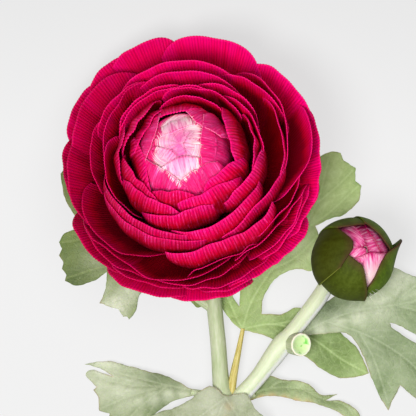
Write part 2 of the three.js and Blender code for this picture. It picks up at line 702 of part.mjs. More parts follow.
const LEAF_F = {
  outline: [
    [3, -74.5, SHARP], [-0.5, -74], [-4, -72], [-8, -70], [-15.5, -68], [-21, -66.5], [-27, -65],
    [-31, -65], [-36, -66, SHARP], [-31.5, -67], [-26.5, -70, SHARP], [-29.5, -69], [-32, -68],
    [-34.5, -68], [-35.5, -69.5], [-32, -73.5, SHARP], [-33, -74.5, SHARP], [-31.5, -77],
    [-31, -81.5, SHARP], [-27.5, -82.5, SHARP], [-28, -86.5], [-30, -91, SHARP], [-25.5, -93],
    [-20.5, -91], [-16, -86.5], [-11, -81.5], [-6.5, -78.5], [-2, -77], [2.5, -76, SHARP],
  ],
  knots: [
    [3, -75, 4.2], [-5, -74, 4], [-12, -70, 2.6], [-14, -76, 3.8], [-24, -68, 1.4], [-34, -67, 0.2],
    [-32, -80, 0.2], [-29, -90, 0.2], [-18, -86, 1],
  ],
  petiole: [[9.5, -79, 4.2, 1.5], [5, -76.5, 4.2, 1.5], [0, -75.2, 4.2, 1.1]],
};

const LEAF_G = {
  outline: [
    [6, -73, SHARP], [2.5, -75], [-1, -78], [-6, -80.5], [-11, -82], [-15, -84.5], [-18, -92, SHARP],
    [-13, -93.5], [-8.5, -92.5, SHARP], [-8, -97.5], [-5, -102, SHARP], [-1, -100.5],
    [1.5, -96.5, SHARP], [4, -102], [7.5, -107, SHARP], [12, -103.5], [14.5, -98, SHARP],
    [18, -101.5], [23, -103, SHARP], [24, -98], [23, -93.5, SHARP], [26, -91], [27.5, -87.5, SHARP],
    [24.5, -83.5], [21, -80.5], [19.5, -77], [18, -75.5], [14.5, -76], [11, -76], [8.5, -74],
  ],
  knots: [
    [11.4, -80, 9.4], [6, -74, 8.6], [18, -76, 9], [11, -92, 7.2], [9, -106, 6.4], [-2, -84, 6.6],
    [-17, -91, 1], [-5, -101, 1.6], [-10, -88, 3.6], [22, -84, 7.4], [24, -101, 1.4], [27, -88, 4.2],
    [1, -96, 5.6], [16, -97, 5.4],
  ],
  petiole: null,
};

// A height between the knots, which are weighed by how near they are.
function heightAt(knots, x, y) {
  let total = 0;
  let sum = 0;
  for (const [kx, ky, kz] of knots) {
    const weight = 1 / ((x - kx) ** 2 + (y - ky) ** 2 + 4) ** 1.6;
    total += weight * kz;
    sum += weight;
  }
  return Math.max(total / sum, LEAF_THICKNESS / 2);
}

// The outline as a chain of points: smooth stretches between the sharp corners.
function outlinePoints(outline, step) {
  const start = outline.findIndex((point) => point[2]);
  const round = [...outline.slice(start), ...outline.slice(0, start), outline[start]];
  const chain = [];
  let run = [round[0]];
  for (const point of round.slice(1)) {
    run.push(point);
    if (point[2]) {
      const curve = new THREE.CatmullRomCurve3(run.map(([x, y]) => new THREE.Vector3(x, y, 0)));
      const pieces = Math.max(1, Math.round(curve.getLength() / step));
      chain.push(...curve.getSpacedPoints(pieces).slice(0, -1));
      run = [point];
    }
  }
  return chain;
}

function prism(chain, height) {
  const ring = chain.map((p) => new THREE.Vector2(p.x, p.y));
  if (THREE.ShapeUtils.isClockWise(ring)) ring.reverse();
  const faces = THREE.ShapeUtils.triangulateShape(ring, []);
  const points = [...ring.map((p) => new THREE.Vector3(p.x, p.y, -1))];
  points.push(...ring.map((p) => new THREE.Vector3(p.x, p.y, height)));
  const triangles = [];
  const n = ring.length;
  for (const [a, b, c] of faces) {
    triangles.push([c, b, a], [a + n, b + n, c + n]);
  }
  for (let i = 0; i < n; i += 1) {
    const j = (i + 1) % n;
    triangles.push([i, j, j + n], [i, j + n, i + n]);
  }
  return solidOf(points, triangles);
}

// A blade: a bent sheet over the leaf's box, cut to the leaf's outline.
function blade({ outline, knots }) {
  const chain = outlinePoints(outline, OUTLINE_STEP);
  const box = new THREE.Box3().setFromPoints(chain).expandByScalar(1);
  const size = box.getSize(new THREE.Vector3());
  const columns = Math.ceil(size.x / LEAF_GRID);
  const rows = Math.ceil(size.y / LEAF_GRID);
  const points = [];
  for (const side of [1, -1]) {
    for (let j = 0; j <= rows; j += 1) {
      for (let i = 0; i <= columns; i += 1) {
        const x = box.min.x + (size.x * i) / columns;
        const y = box.min.y + (size.y * j) / rows;
        points.push(new THREE.Vector3(x, y, heightAt(knots, x, y) + (side * LEAF_THICKNESS) / 2));
      }
    }
  }
  const at = (i, j) => j * (columns + 1) + i;
  const back = (columns + 1) * (rows + 1);
  const triangles = [];
  for (let j = 0; j < rows; j += 1) {
    for (let i = 0; i < columns; i += 1) {
      const [a, b, c, d] = [at(i, j), at(i + 1, j), at(i + 1, j + 1), at(i, j + 1)];
      triangles.push([a, b, c], [a, c, d]);
      triangles.push([back + a, back + c, back + b], [back + a, back + d, back + c]);
    }
  }
  const rim = [];
  for (let i = 0; i < columns; i += 1) rim.push(at(i, 0));
  for (let j = 0; j < rows; j += 1) rim.push(at(columns, j));
  for (let i = columns; i > 0; i -= 1) rim.push(at(i, rows));
  for (let j = rows; j > 0; j -= 1) rim.push(at(0, j));
  rim.forEach((a, k) => {
    const b = rim[(k + 1) % rim.length];
    triangles.push([a, back + a, back + b], [a, back + b, b]);
  });
  return solidOf(points, triangles).intersect(prism(chain, 30));
}

function leaf(shape) {
  const pieces = [blade(shape)];
  if (shape.petiole) pieces.push(tube(shape.petiole, 8, 6));
  return fuse(pieces).subtract(stemAllowance);
}

// The sprig

const sprig = new THREE.Group();
sprig.position.set(-FOOTPRINT_MIDDLE.x, -FOOTPRINT_MIDDLE.y, 0);
sprig.add(
  meshOf("stems", stems(), MATERIALS.stem),
  meshOf("bloom_petals", bloomPetals(), MATERIALS.petal),
  meshOf("bloom_heart", bloomHeart(heartRoom()), MATERIALS.heart),
  meshOf("bloom_calyx", bloomCalyx(), MATERIALS.calyx),
  meshOf("bud_petals", budPetals(), MATERIALS.budPetal),
  meshOf("bud_sepals", budSepals(), MATERIALS.sepal),
  meshOf("leaf_back_right", leaf(LEAF_A), MATERIALS.leaf),
  meshOf("leaf_right", leaf(LEAF_B), MATERIALS.leaf),
  meshOf("leaf_back_left", leaf(LEAF_C), MATERIALS.leaf),
  meshOf("leaf_folded", leaf(LEAF_E), MATERIALS.leaf),
  meshOf("leaf_left", leaf(LEAF_F), MATERIALS.leaf),
  meshOf("leaf_front", leaf(LEAF_G), MATERIALS.leaf),
);

export default sprig;
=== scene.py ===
# The looks of a cut sprig of persian buttercup: the open bloom, the bud, the stems and the lobed leaves.
# Lengths are in millimetres in the drawing frame, with x to the right, y up the main stem and z up.
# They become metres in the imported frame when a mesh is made. Angles are in degrees in all tables.
import math

import bpy
import numpy as np
from mathutils.geometry import delaunay_2d_cdt
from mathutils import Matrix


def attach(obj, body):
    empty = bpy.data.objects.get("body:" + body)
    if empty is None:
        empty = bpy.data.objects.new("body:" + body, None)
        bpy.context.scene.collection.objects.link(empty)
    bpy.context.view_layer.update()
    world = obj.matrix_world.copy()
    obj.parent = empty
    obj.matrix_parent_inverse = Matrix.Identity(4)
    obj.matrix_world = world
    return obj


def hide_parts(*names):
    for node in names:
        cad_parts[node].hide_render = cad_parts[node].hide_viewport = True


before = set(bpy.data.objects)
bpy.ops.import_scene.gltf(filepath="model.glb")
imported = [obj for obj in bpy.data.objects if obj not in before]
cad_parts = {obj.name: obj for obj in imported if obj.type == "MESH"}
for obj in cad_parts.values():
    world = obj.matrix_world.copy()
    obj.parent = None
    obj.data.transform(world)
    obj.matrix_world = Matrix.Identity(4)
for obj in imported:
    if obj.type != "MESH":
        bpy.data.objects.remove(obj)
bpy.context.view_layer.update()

MM = 0.001
FOOTPRINT_MIDDLE = np.array([22.75, -62.4, 0.0])
SEED = 11

# Where the open bloom and the bud are, and how far and towards which azimuth they lean.
BLOOM_BASE = np.array([3.2, -6.8, 10.0])
BLOOM_LEAN = 22
BLOOM_LEAN_AZIMUTH = 115.6
BUD_CENTRE = np.array([53.9, -30.5, 23.6])
BUD_LEAN = 29.5
BUD_LEAN_AZIMUTH = 42

# Each petal's places across are shifted by up to this much, so that no two have the same streaks.
ACROSS_SHIFT = 50


# Meshes


class Build:
    """Points, faces and point fields gathered for one mesh."""

    def __init__(self):
        self.points = []
        self.faces = []
        self.fields = []
        self.count = 0

    def add(self, points, faces, **fields):
        self.points.append(points)
        for part in faces:
            self.faces.extend((np.asarray(part) + self.count).tolist())
        self.fields.append((len(points), fields))
        self.count += len(points)

    def field(self, name):
        parts = [np.broadcast_to(fields.get(name, 0.0), count) for count, fields in self.fields]
        return np.concatenate(parts).astype(np.float32)


def linked(name, data):
    """A new object of the data, in the scene."""
    made = bpy.data.objects.new(name, data)
    bpy.context.scene.collection.objects.link(made)
    return made


def piece(name, build, material, node):
    """A Blender object of the gathered mesh, which stands for a CAD node."""
    mesh = bpy.data.meshes.new(name)
    points = (np.vstack(build.points) - FOOTPRINT_MIDDLE) * MM
    mesh.from_pydata(points.tolist(), [], build.faces)
    for field in sorted({key for _, fields in build.fields for key in fields}):
        attribute = mesh.attributes.new(field, "FLOAT", "POINT")
        attribute.data.foreach_set("value", build.field(field))
    mesh.polygons.foreach_set("use_smooth", [True] * len(mesh.polygons))
    mesh.materials.append(material)
    made = linked(name, mesh)
    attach(made, "root")
    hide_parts(node)


def normals_of(middle):
    normal = np.cross(np.gradient(middle, axis=1), np.gradient(middle, axis=0))
    return normal / np.maximum(np.linalg.norm(normal, axis=2, keepdims=True), 1e-9)


def add_sheet(build, middle, thickness, **fields):
    """A closed thin sheet round a grid of middle points. Its first face looks away from the axis."""
    rows, columns = middle.shape[:2]
    offset = 0.5 * np.broadcast_to(thickness, (rows, columns))[..., None] * normals_of(middle)
    points = np.vstack([(middle + offset).reshape(-1, 3), (middle - offset).reshape(-1, 3)])
    index = np.arange(rows * columns).reshape(rows, columns)
    back = rows * columns
    a, b, c, d = index[:-1, :-1], index[:-1, 1:], index[1:, 1:], index[1:, :-1]
    outer = np.stack([a, b, c, d], axis=-1).reshape(-1, 4)
    inner = np.stack([a, d, c, b], axis=-1).reshape(-1, 4) + back
    rim = np.concatenate([index[0, :-1], index[:-1, -1], index[-1, :0:-1], index[:0:-1, 0]])
    after = np.roll(rim, -1)
    edge = np.stack([rim, rim + back, after + back, after], axis=-1)
    both = {"inside": np.repeat([0.0, 1.0], back)}
    for key, value in fields.items():
        both[key] = np.tile(np.broadcast_to(value, (rows, columns)).ravel(), 2)
    build.add(points, [outer, inner, edge], **both)


def places(columns, rows):
    """Places from -1 to 1 across a grid and from 0 to 1 along it."""
    return np.linspace(-1, 1, columns + 1)[None, :], np.linspace(0, 1, rows + 1)[:, None]


def round_axis(radius, turn, height):
    """Points at a radius, a turn in radians and a height round the z axis."""
    return np.stack([radius * np.cos(turn), radius * np.sin(turn), height], -1)


def leaning(origin, lean, azimuth):
    """The turn and the origin of a frame that leans towards an azimuth."""
    turn, tilt = math.radians(azimuth), math.radians(lean)
    axis = np.array([-math.sin(turn), math.cos(turn), 0.0])
    cross = np.array([[0, -axis[2], axis[1]], [axis[2], 0, -axis[0]], [-axis[1], axis[0], 0]])
    matrix = np.eye(3) + math.sin(tilt) * cross + (1 - math.cos(tilt)) * cross @ cross
    return matrix, origin


def placed(points, frame_of):
    matrix, origin = frame_of
    return points @ matrix.T + origin


BLOOM_FRAME = leaning(BLOOM_BASE, BLOOM_LEAN, BLOOM_LEAN_AZIMUTH)
BUD_FRAME = leaning(BUD_CENTRE, BUD_LEAN, BUD_LEAN_AZIMUTH)


def run_length(line):
    """How far along the line each of its points is."""
    steps = np.linalg.norm(np.diff(line[:, :3], axis=0), axis=1)
    return np.concatenate([[0], np.cumsum(steps)])


def smooth_line(stops, step):
    """Points about a step apart on the smooth curve through the stops. Further columns go along."""
    p = np.asarray(stops, float)
    p = np.vstack([2 * p[0] - p[1], p, 2 * p[-1] - p[-2]])
    gaps = np.sqrt(np.maximum(np.linalg.norm(np.diff(p[:, :3], axis=0), axis=1), 1e-6))
    t = np.linspace(0, 1, 16, endpoint=False)[:, None]
    line = []
    for k in range(1, len(p) - 2):
        before, here, after = gaps[k - 1 : k + 2]
        ahead = (p[k + 1] - p[k]) / here
        leave = (p[k] - p[k - 1]) / before - (p[k + 1] - p[k - 1]) / (before + here) + ahead
        reach = ahead - (p[k + 2] - p[k]) / (here + after) + (p[k + 2] - p[k + 1]) / after
        line.append(
            (2 * t**3 - 3 * t**2 + 1) * p[k]
            + (t**3 - 2 * t**2 + t) * leave * here
            + (3 * t**2 - 2 * t**3) * p[k + 1]
            + (t**3 - t**2) * reach * here
        )
    line = np.vstack([*line, p[-2]])
    length = run_length(line)
    place = np.linspace(0, length[-1], max(1, round(length[-1] / step)) + 1)
    return np.stack([np.interp(place, length, column) for column in line.T], axis=1)


def waves(place, rng, count, strength):
    """A smooth seeded wave over a place that runs from -1 to 1."""
    total = np.zeros_like(place)
    for k in range(1, count + 1):
        total += rng.uniform(0.4, 1) / k * np.sin(k * math.pi * place + rng.uniform(0, 2 * math.pi))
    return strength * total


# Petals of the open bloom
# Each petal is: azimuth of its middle and its span in degrees, rim radius and how far the rim lies
# under the dome in mm, lean of the rim from upright in degrees (outwards is positive), skew and curl
# in mm, and the share by which its corners are shorter than its middle. Skew moves the anticlockwise
# side out and the other in, and curl moves both sides out.

GUARD_PETALS = [
    (115, 62, 41, 22.7, 95, 0, 0, 0.2),
    (160, 58, 42, 19.7, 92, 1, 0, 0.2),
    (72, 58, 42, 19.7, 92, -1, 0, 0.2),
    (205, 54, 41.5, 16.3, 88, 1, 0, 0.2),
    (248, 52, 41.5, 16.7, 84, 1, 0, 0.2),
    (290, 54, 40, 19.7, 84, 0, 0, 0.2),
    (322, 46, 40, 18.7, 84, 1, 0, 0.2),
    (352, 48, 41, 14.3, 80, 0, 0, 0.2),
    (30, 56, 42.6, 15, 85, 1, 0, 0.2),
]

OUTER_PETALS = [
    (5, 66, 41.6, 0, 25, 4, -2.5, 0.25),
    (40, 56, 43.4, 2, 38, -1.6, 0, 0.2),
    (17, 48, 43.8, 5, 50, 0, 0, 0.2),
    (355, 44, 43.9, 5, 55, 0, 0, 0.2),
    (80, 68, 44.4, 0, 40, 1.5, 0, 0.33),
    (114, 46, 46.7, 0, 40, 0, 0, 0.3),
    (130, 38, 46.4, 1, 45, 0, 0, 0.25),
    (150, 44, 45.4, 2, 48, -0.5, 0, 0.25),
    (180, 48, 42.9, 4, 50, -0.8, 0, 0.2),
    (151, 76, 41.4, 0, 38, -1.6, 0, 0.27),
    (188, 62, 40.8, 0, 35, 0, 0, 0.2),
    (224, 76, 39.4, 0, 25, -1.2, -4, 0.2),
    (226, 50, 41, 1, 30, 0, 0, 0.2),
    (232, 60, 42.4, 1.5, 35, 0.5, 0, 0.2),
    (220, 50, 44.3, 5, 50, 0.5, 0, 0.2),
    (265, 72, 42.4, 0, 25, -1.5, -4, 0.22),
    (278, 56, 43.2, 0.5, 28, -1.2, -2.5, 0.2),
    (250, 46, 44.4, 2, 38, 0, -1, 0.2),
    (289, 56, 45, 2, 35, -0.6, -2.2, 0.22),
    (249, 46, 45.7, 8, 65, 0, -1, 0.15),
    (279, 42, 46, 10, 75, 0, -0.5, 0.2),
    (300, 40, 45, 6, 60, 0, 0, 0.15),
    (319, 42, 45.6, 7, 62, 0, -1, 0.22),
    (339, 40, 44.1, 6, 60, 0, -0.5, 0.2),
    (289, 34, 45.9, 4, 45, 0, -1, 0.2),
    (325, 50, 42.4, 1, 30, 0, -1, 0.2),
    (328, 50, 42.7, 3, 45, -0.3, 0, 0.15),
    (322, 56, 40, 0, 22, 1.2, 0, 0.12),
    (290, 40, 38.8, 0, 20, -1, 0, 0.1),
    (330, 56, 38.4, 0, 15, 1, 0, 0.15),
    (295, 72, 33.7, 0, -50, 0, 3, 0.08),
]

# How many of the outer petals are in the guard petals' piece.
GUARDED = 10

MIDDLE_PETALS = [
    (25, 88, 35.7, 0, 5, 1.6, -1, 0.2),
    (46, 60, 33.6, 0, 8, -2.4, 0, 0.2),
    (9, 76, 33, 0, -5, 0.8, 0, 0.2),
    (97, 92, 33.8, 0, 20, 1.2, 0, 0.2),
    (141, 54, 32, 0, 15, 0, 0, 0.15),
    (174, 56, 32.1, 0, 10, 0, 0, 0.15),
    (84, 86, 28.6, 0, 10, 2, 0.8, 0.12),
    (146, 70, 29.4, 0, 0, -1.6, 0, 0.15),
    (246, 96, 30.4, 0, -30, 0, 0, 0.16),
    (325, 80, 32, 0, -15, 1, 0, 0.2),
    (300, 80, 27.6, 0, -45, 0, 1, 0.12),
    (238, 100, 28.3, 0, -40, 0, -0.6, 0.16),
]

INNER_PETALS = [
    (56, 74, 25.9, 0, 8, -2.2, 0, 0.2),
    (30, 76, 25.5, 0, 5, -1.8, -0.5, 0.2),
    (336, 66, 24, 0, -35, 1.9, 0, 0.2),
    (269, 76, 22.6, 0, -40, -1.8, -0.8, 0.2),
    (298, 80, 17.9, 0, -50, 1.2, 1, 0.2),
    (236, 76, 19.8, 0, -45, 0, 1.2, 0.2),
    (215, 76, 18, 0, -45, 0, 0.6, 0.2),
    (176, 60, 20.7, 0, -35, 0, 1.4, 0.2),
    (196, 80, 27.2, 0, 0, 0.2, -1.6, 0.2),
    (126, 82, 24.5, 0, 8, 0, 0, 0.15),
    (126, 78, 23.2, 0, 0, 0, 0, 0.15),
    (86, 54, 22.7, 0, 0, -0.4, 0, 0.15),
    (74, 82, 22.3, 0, -5, -0.3, 0, 0.15),
    (8, 66, 23.9, 0, -10, 0, -0.5, 0.2),
    (322, 68, 15.9, 0, -50, 1.3, 1.2, 0.2),
    (15, 82, 16.2, 0, -50, 0, 1.2, 0.2),
    (82, 80, 18.2, 0, -8, -0.3, 0, 0.12),
    (148, 72, 17.5, 0, -50, 0, 1.5, 0.2),
    (261, 64, 15.7, 0, -50, 0, 0.6, 0.2),
]

ROSETTE_PETALS = [
    (150, 70, 13.8, 0.8, -50, 0, 1.5, 0.1),
    (198, 72, 13.1, 0.6, -50, 0, 3, 0.1),
    (102, 66, 12, 0.4, -55, 0, 1.5, 0.1),
    (165, 90, 9.5, 0.15, -60, 0, 3, 0.1),
    (235, 90, 10.1, 0.1, -60, 0, 2.4, 0.1),
    (300, 76, 10.2, 0.1, -60, 0, 2, 0.1),
    (52, 80, 9.5, 0.1, -60, 0, 2.6, 0.1),
    (0, 120, 6.7, 0, -66, 0, 4.6, 0.1),
]

HEART_PETALS = [
    (170, 120, 0.7, 1.2, -84, 0, 1, 0.1),
    (50, 84, 2.6, 1.05, -82, 0, 1, 0.1),
    (355, 130, 0.9, 0.85, -84, 0, 1, 0.1),
    (230, 104, 3.1, 0.65, -80, 0, 2.2, 0.1),
    (110, 120, 4.6, 0.4, -78, 0, 2, 0.1),
    (280, 104, 4.5, 0.15, -78, 0, 2.2, 0.1),
]

# The height of the dome on which the rims lie falls with the radius and its square.
DOME_TOP = 44.5
DOME_SLOPE = 0.17
DOME_BEND = 0.0055

# A petal's root: how far out and how high it is, and at which angle it rises, for a petal at the
# axis, and how these change for one whose rim is at the full radius.
FULL_RADIUS = 45
ROOT = np.array([2, 8])
ROOT_CHANGE = np.array([3, -6])
ROOT_RISE = 30
ROOT_RISE_CHANGE = -15

# A petal is shorter at its corners, and there its rim is led back towards the circle that it lies on.
CORNER_POWER = 3.5
TUCK_INWARD = 0.2
TUCK_OUTWARD = 0.12

# A petal's curve from root to rim: the reach of its two handles and its length, as shares of the
# straight way, and how much of its span it has at the root and gains by the rim.
HANDLE_REACH = 0.4
CURVE_LENGTH = 1.15
ROOT_FAN = 0.7
RIM_FAN = 0.3

# Waves of the rim, out and up, which are smaller within the calm radius, and those of the blade.
RIM_WAVE = 0.5
RIM_LIFT = 0.45
CALM_RADIUS = 20
BLADE_WAVE = 0.35

# The mesh of a petal: its rows, which crowd towards the rim, and its columns, which are counted at
# the rim or at the counting radius, whichever is larger.
PETAL_ROWS = 13
ROW_CROWDING = 1.6
COLUMN_WIDTH = 0.3
COUNTING_RADIUS = 8.0
FEWEST_COLUMNS = 30
MOST_COLUMNS = 150

# Ribs fan out from the root, and this is how far apart they are at the rim. On a petal whose rim is
# within the fibred radius they run side by side, this far apart all the way.
RIB_PITCH = 1.05
FIBRED_RADIUS = 11.0

# How far ribs stand out, how much less in the outer rings, and how much more near the rim, where
# they crimp it.
RIB_RELIEF = 0.085
RIB_RELIEF_LOSS = 0.035
CRIMP_REACH = 1.2
CRIMP_RELIEF = 0.08
CRIMP_LIFT = 0.1

PETAL_RIM_THICKNESS = 0.22
PETAL_ROOT_THICKNESS = 0.6
THINNING_REACH = 12

# Painted shade: petals on this azimuth, the side the light comes from, are the least darkened for
# their ring, and those across from it the most.
LIT_AZIMUTH = 15
SHADE_MIDDLE = 0.66
SHADE_SWING = 0.4

# The round top under the innermost petals, and its mesh
CAP_RINGS = 24
CAP_SIDES = 96
CAP_RADIUS = 12.0
CAP_DEPTH = 1.0
CAP_BEND = 0.008
CAP_RIDGES = 11
CAP_RIDGE = 0.12
CAP_THICKNESS = 0.3

# The pale middle of the bloom: how far it reaches from the bloom's axis, in mm, at each azimuth.
PALE_REACH = [
    (0, 6.4), (20, 6.2), (40, 8.6), (60, 8.6), (75, 10.4), (90, 11.3), (110, 11.2), (130, 10.6),
    (140, 8.8), (150, 7.6), (165, 8.4), (180, 7.6), (195, 9), (210, 10), (225, 10.3), (240, 10.2),
    (252, 11), (262, 12.8), (270, 12.8), (280, 11.6), (290, 10.8), (305, 10.3), (312, 9.9),
    (322, 7.4), (340, 6.8),
]


def pale_depth(middle):
    """How far inside the pale middle each point of the bloom lies, seen along its axis."""
    azimuth, reach = np.array(PALE_REACH, float).T
    angle = np.degrees(np.arctan2(middle[..., 1], middle[..., 0]))
    radius = np.hypot(middle[..., 0], middle[..., 1])
    return np.interp(angle, azimuth, reach, period=360) - radius


def dome(radius):
    return DOME_TOP - DOME_SLOPE * radius - DOME_BEND * radius * radius


def bezier(first, second, third, fourth, t):
    s = 1 - t
    return s**3 * first + 3 * s * s * t * second + 3 * s * t * t * third + t**3 * fourth


def petal_middle(shape, columns, rng):
    """The middle surface of a petal as a grid, with its place across it and up to its rim."""
    azimuth, span, radius, low, lean, skew, curl, cut = shape
    share = radius / FULL_RADIUS
    root = ROOT + ROOT_CHANGE * share
    rise = math.radians(ROOT_RISE + ROOT_RISE_CHANGE * share)
    turn = math.radians(lean)
    u, along = places(columns, PETAL_ROWS)
    corner = np.abs(u) ** CORNER_POWER
    edge = 1 - cut * corner
    v = (1 - (1 - along) ** ROW_CROWDING) * edge
    tuck = math.sin(turn) * (TUCK_OUTWARD if lean > 0 else TUCK_INWARD)
    wave = waves(u, rng, 5, RIM_WAVE * min(1, radius / CALM_RADIUS))
    lift = waves(u, rng, 6, RIM_LIFT * min(1, radius / CALM_RADIUS))
    rim_r = radius * (1 + tuck * corner) + skew * u + curl * u * u + wave
    rim_z = dome(rim_r) - low + lift
    straight = math.hypot(radius - root[0], dome(radius) - low - root[1])
    reach = HANDLE_REACH * straight
    first = root + reach * np.array([math.cos(rise), math.sin(rise)])
    r = bezier(root[0], first[0], rim_r - reach * math.sin(turn), rim_r, v)
    z = bezier(root[1], first[1], rim_z - reach * math.cos(turn), rim_z, v)
    angle = np.radians(azimuth + 0.5 * span * u * (ROOT_FAN + RIM_FAN * v))
    return round_axis(r, angle, z), u, v, (edge - v) * (CURVE_LENGTH * straight)


def add_petal(build, shape, ring, rng):
    azimuth, span, radius, _, lean = shape[:5]
    opened = math.radians(lean + BLOOM_LEAN * math.cos(math.radians(azimuth - BLOOM_LEAN_AZIMUTH)))
    width = math.radians(span) * max(radius, COUNTING_RADIUS)
    columns = int(np.clip(width / COLUMN_WIDTH, FEWEST_COLUMNS, MOST_COLUMNS))
    middle, u, v, from_rim = petal_middle(shape, columns, rng)
    reach = np.hypot(middle[..., 0], middle[..., 1]) if radius < FIBRED_RADIUS else radius
    across = 0.5 * math.radians(span) * reach * u + rng.uniform(0, ACROSS_SHIFT)
    rib = np.cos(2 * math.pi * across / RIB_PITCH) * np.clip(v * 1.6, 0, 1)
    bend = waves(u + 0.6 * v, rng, 3, BLADE_WAVE) * np.sin(math.pi * np.clip(v, 0, 1))
    crimp = np.exp(-from_rim / CRIMP_REACH) * (1 - 0.5 * ring)
    relief = RIB_RELIEF - RIB_RELIEF_LOSS * min(ring, 1) + CRIMP_RELIEF * crimp
    middle = middle + normals_of(middle) * (relief * rib + bend)[..., None]
    middle[..., 2] += CRIMP_LIFT * rib * crimp
    points = placed(middle, BLOOM_FRAME)
    points[..., 2] = np.maximum(points[..., 2], 0.5 * PETAL_ROOT_THICKNESS)
    thicker = (PETAL_ROOT_THICKNESS - PETAL_RIM_THICKNESS) * np.clip(from_rim / THINNING_REACH, 0, 1)
    # Painted shade: the ring's darkening grows away from the lit azimuth.
    shade = SHADE_MIDDLE - SHADE_SWING * math.cos(math.radians(azimuth - LIT_AZIMUTH))
    add_sheet(
        build, points, PETAL_RIM_THICKNESS + thicker,
        across=across, from_rim=from_rim, chance=rng.uniform(), pale=pale_depth(middle),
        ring=ring * shade, facing_up=max(0.0, math.sin(opened)),
    )


def add_heart_cap(build):
    """The round top that carries the innermost petals, just under their rims."""
    radius = np.linspace(0.02, CAP_RADIUS, CAP_RINGS)[:, None]
    turn = np.linspace(0, 2 * math.pi, CAP_SIDES + 1)[None, :]
    ridge = CAP_RIDGE * np.cos(CAP_RIDGES * turn) * np.clip(radius / 3, 0, 1)
    local = round_axis(radius, turn, dome(radius) - CAP_DEPTH - CAP_BEND * radius**2 + ridge)
    add_sheet(
        build, placed(local, BLOOM_FRAME), CAP_THICKNESS,
        across=radius * turn, from_rim=4 + radius, chance=0.5, ring=0.0, pale=pale_depth(local),
    )


def petals_piece(name, rings, node, material, seed, cap=False):
    build = Build()
    rng = np.random.default_rng(SEED + seed)
    for ring, shapes in rings:
        for shape in shapes:
            add_petal(build, shape, ring, rng)
    if cap:
        add_heart_cap(build)
    piece(name, build, material, node)


# Stems and their cut ends


STEM_RADIUS = 2.65
STEM_HEIGHT = 2.66
BUD_STEM_RADIUS = 2.8
TUBE_RIDGE = 0.008

# The rounded rim and the hollow of a cut end: share of the radius, depth in radii and share of pith.
CUT_END = [
    (1.0, 0.0, 0.0), (0.97, -0.06, 0.35), (0.9, -0.09, 0.6), (0.8, -0.04, 0.8), (0.55, 0.12, 1.0),
    (0.25, 0.2, 1.0),
]

# The mesh of a short tube that is seen from near.
FINE = {"sides": 48, "step": 0.3}


def frames_along(line):
    """Two directions across a line at each of its points, turned as little as possible."""
    way = np.gradient(line, axis=0)
    way /= np.linalg.norm(way, axis=1, keepdims=True)
    side = np.cross(way[0], [0.0, 0.0, 1.0])
    sides = []
    for step in way:
        side = side - step * np.dot(side, step)
        side = side / np.linalg.norm(side)
        sides.append(side)
    sides = np.array(sides)
    return sides, np.cross(way, sides), way


def band(index):
    """The faces between closed rings of points."""
    a, b = index[:-1], index[1:]
    return np.stack([a, np.roll(a, -1, 1), np.roll(b, -1, 1), b], axis=-1).reshape(-1, 4)


def add_tube(build, stops, sides=36, step=0.6, ridges=11, cut=True, **fields):
    """A closed tube along stops of x, y, z and radius, with shallow ridges and hollowed cut ends."""
    line = smooth_line(stops, step)
    centre, radius = line[:, :3], line[:, 3]
    first, second, way = frames_along(centre)
    end = len(line) - 1
    rings = [(0, *stop) for stop in reversed(CUT_END)]
    rings += [(k, 1.0, 0.0, 0.0) for k in range(1, end)]
    rings += [(end, *stop) for stop in CUT_END]
    turn = np.linspace(0, 2 * math.pi, sides, endpoint=False)
    wave = 1 + TUBE_RIDGE * np.cos(ridges * turn)
    points = []
    for k, share, depth, _ in rings:
        inwards = (1 if k == 0 else -1) * depth * (1 if cut else -1)
        middle = centre[k] + way[k] * radius[k] * inwards
        across = np.cos(turn)[:, None] * first[k] + np.sin(turn)[:, None] * second[k]
        points.append(middle + radius[k] * share * wave[:, None] * across)
    index = np.arange(len(rings) * sides).reshape(-1, sides)
    build.add(
        np.vstack(points), [band(index), index[:1, ::-1], index[-1:]],
        along=np.repeat(run_length(centre)[[ring[0] for ring in rings]], sides),
        around=np.tile(turn, len(rings)),
        pith=np.repeat([cut * ring[3] for ring in rings], sides),
        **fields,
    )


MAIN_STEM = [
    (4, -168, STEM_HEIGHT, STEM_RADIUS),
    (7.5, -140, STEM_HEIGHT, STEM_RADIUS),
    (10.5, -108, STEM_HEIGHT + 0.1, STEM_RADIUS),
    (11.3, -90, 3.3, 2.9),
    (11.4, -80, 4.4, 4.2),
    (10, -73, 4.5, 3),
    (8.9, -59, 4.6, STEM_RADIUS),
    (7.4, -44, 5, STEM_RADIUS),
    (6, -28, 4.6, STEM_RADIUS),
    (5.2, -17, 4.1, STEM_RADIUS),
    (4.4, -10.4, 6, STEM_RADIUS),
    (3.4, -7.2, 9, 3),
]

BUD_STEM = [
    (11.6, -82, 4.6, 2.6),
    (16, -77, 5.4, BUD_STEM_RADIUS),
    (22, -70.5, 6.6, BUD_STEM_RADIUS),
    (30.5, -59, 8.2, 3.5),
    (33, -56, 8.4, BUD_STEM_RADIUS),
    (42, -44.5, 7.6, BUD_STEM_RADIUS),
    (46, -38.4, 8.2, 2.7),
    (48.8, -35.3, 11.2, 2.6),
]

STUB = [
    (31.5, -58.7, 7.4, 3.1),
    (34.6, -59, 9.6, 3.7),
    (36.6, -59.2, 12.8, 3.9),
]


def stems_piece(material):
    build = Build()
    add_tube(build, MAIN_STEM)
    add_tube(build, BUD_STEM, lilac=1.0)
    add_tube(build, STUB, **FINE)
    piece("stem_skin", build, material, "stems")


# The bud and the calyx
# Each leaf of the bud is: azimuth of its middle, half its width and how near its tip comes to the
# axis, in degrees, its radius in mm, the shares by which its clockwise and its anticlockwise side
# are shorter than its tip, and how far its anticlockwise side stands off, in mm.

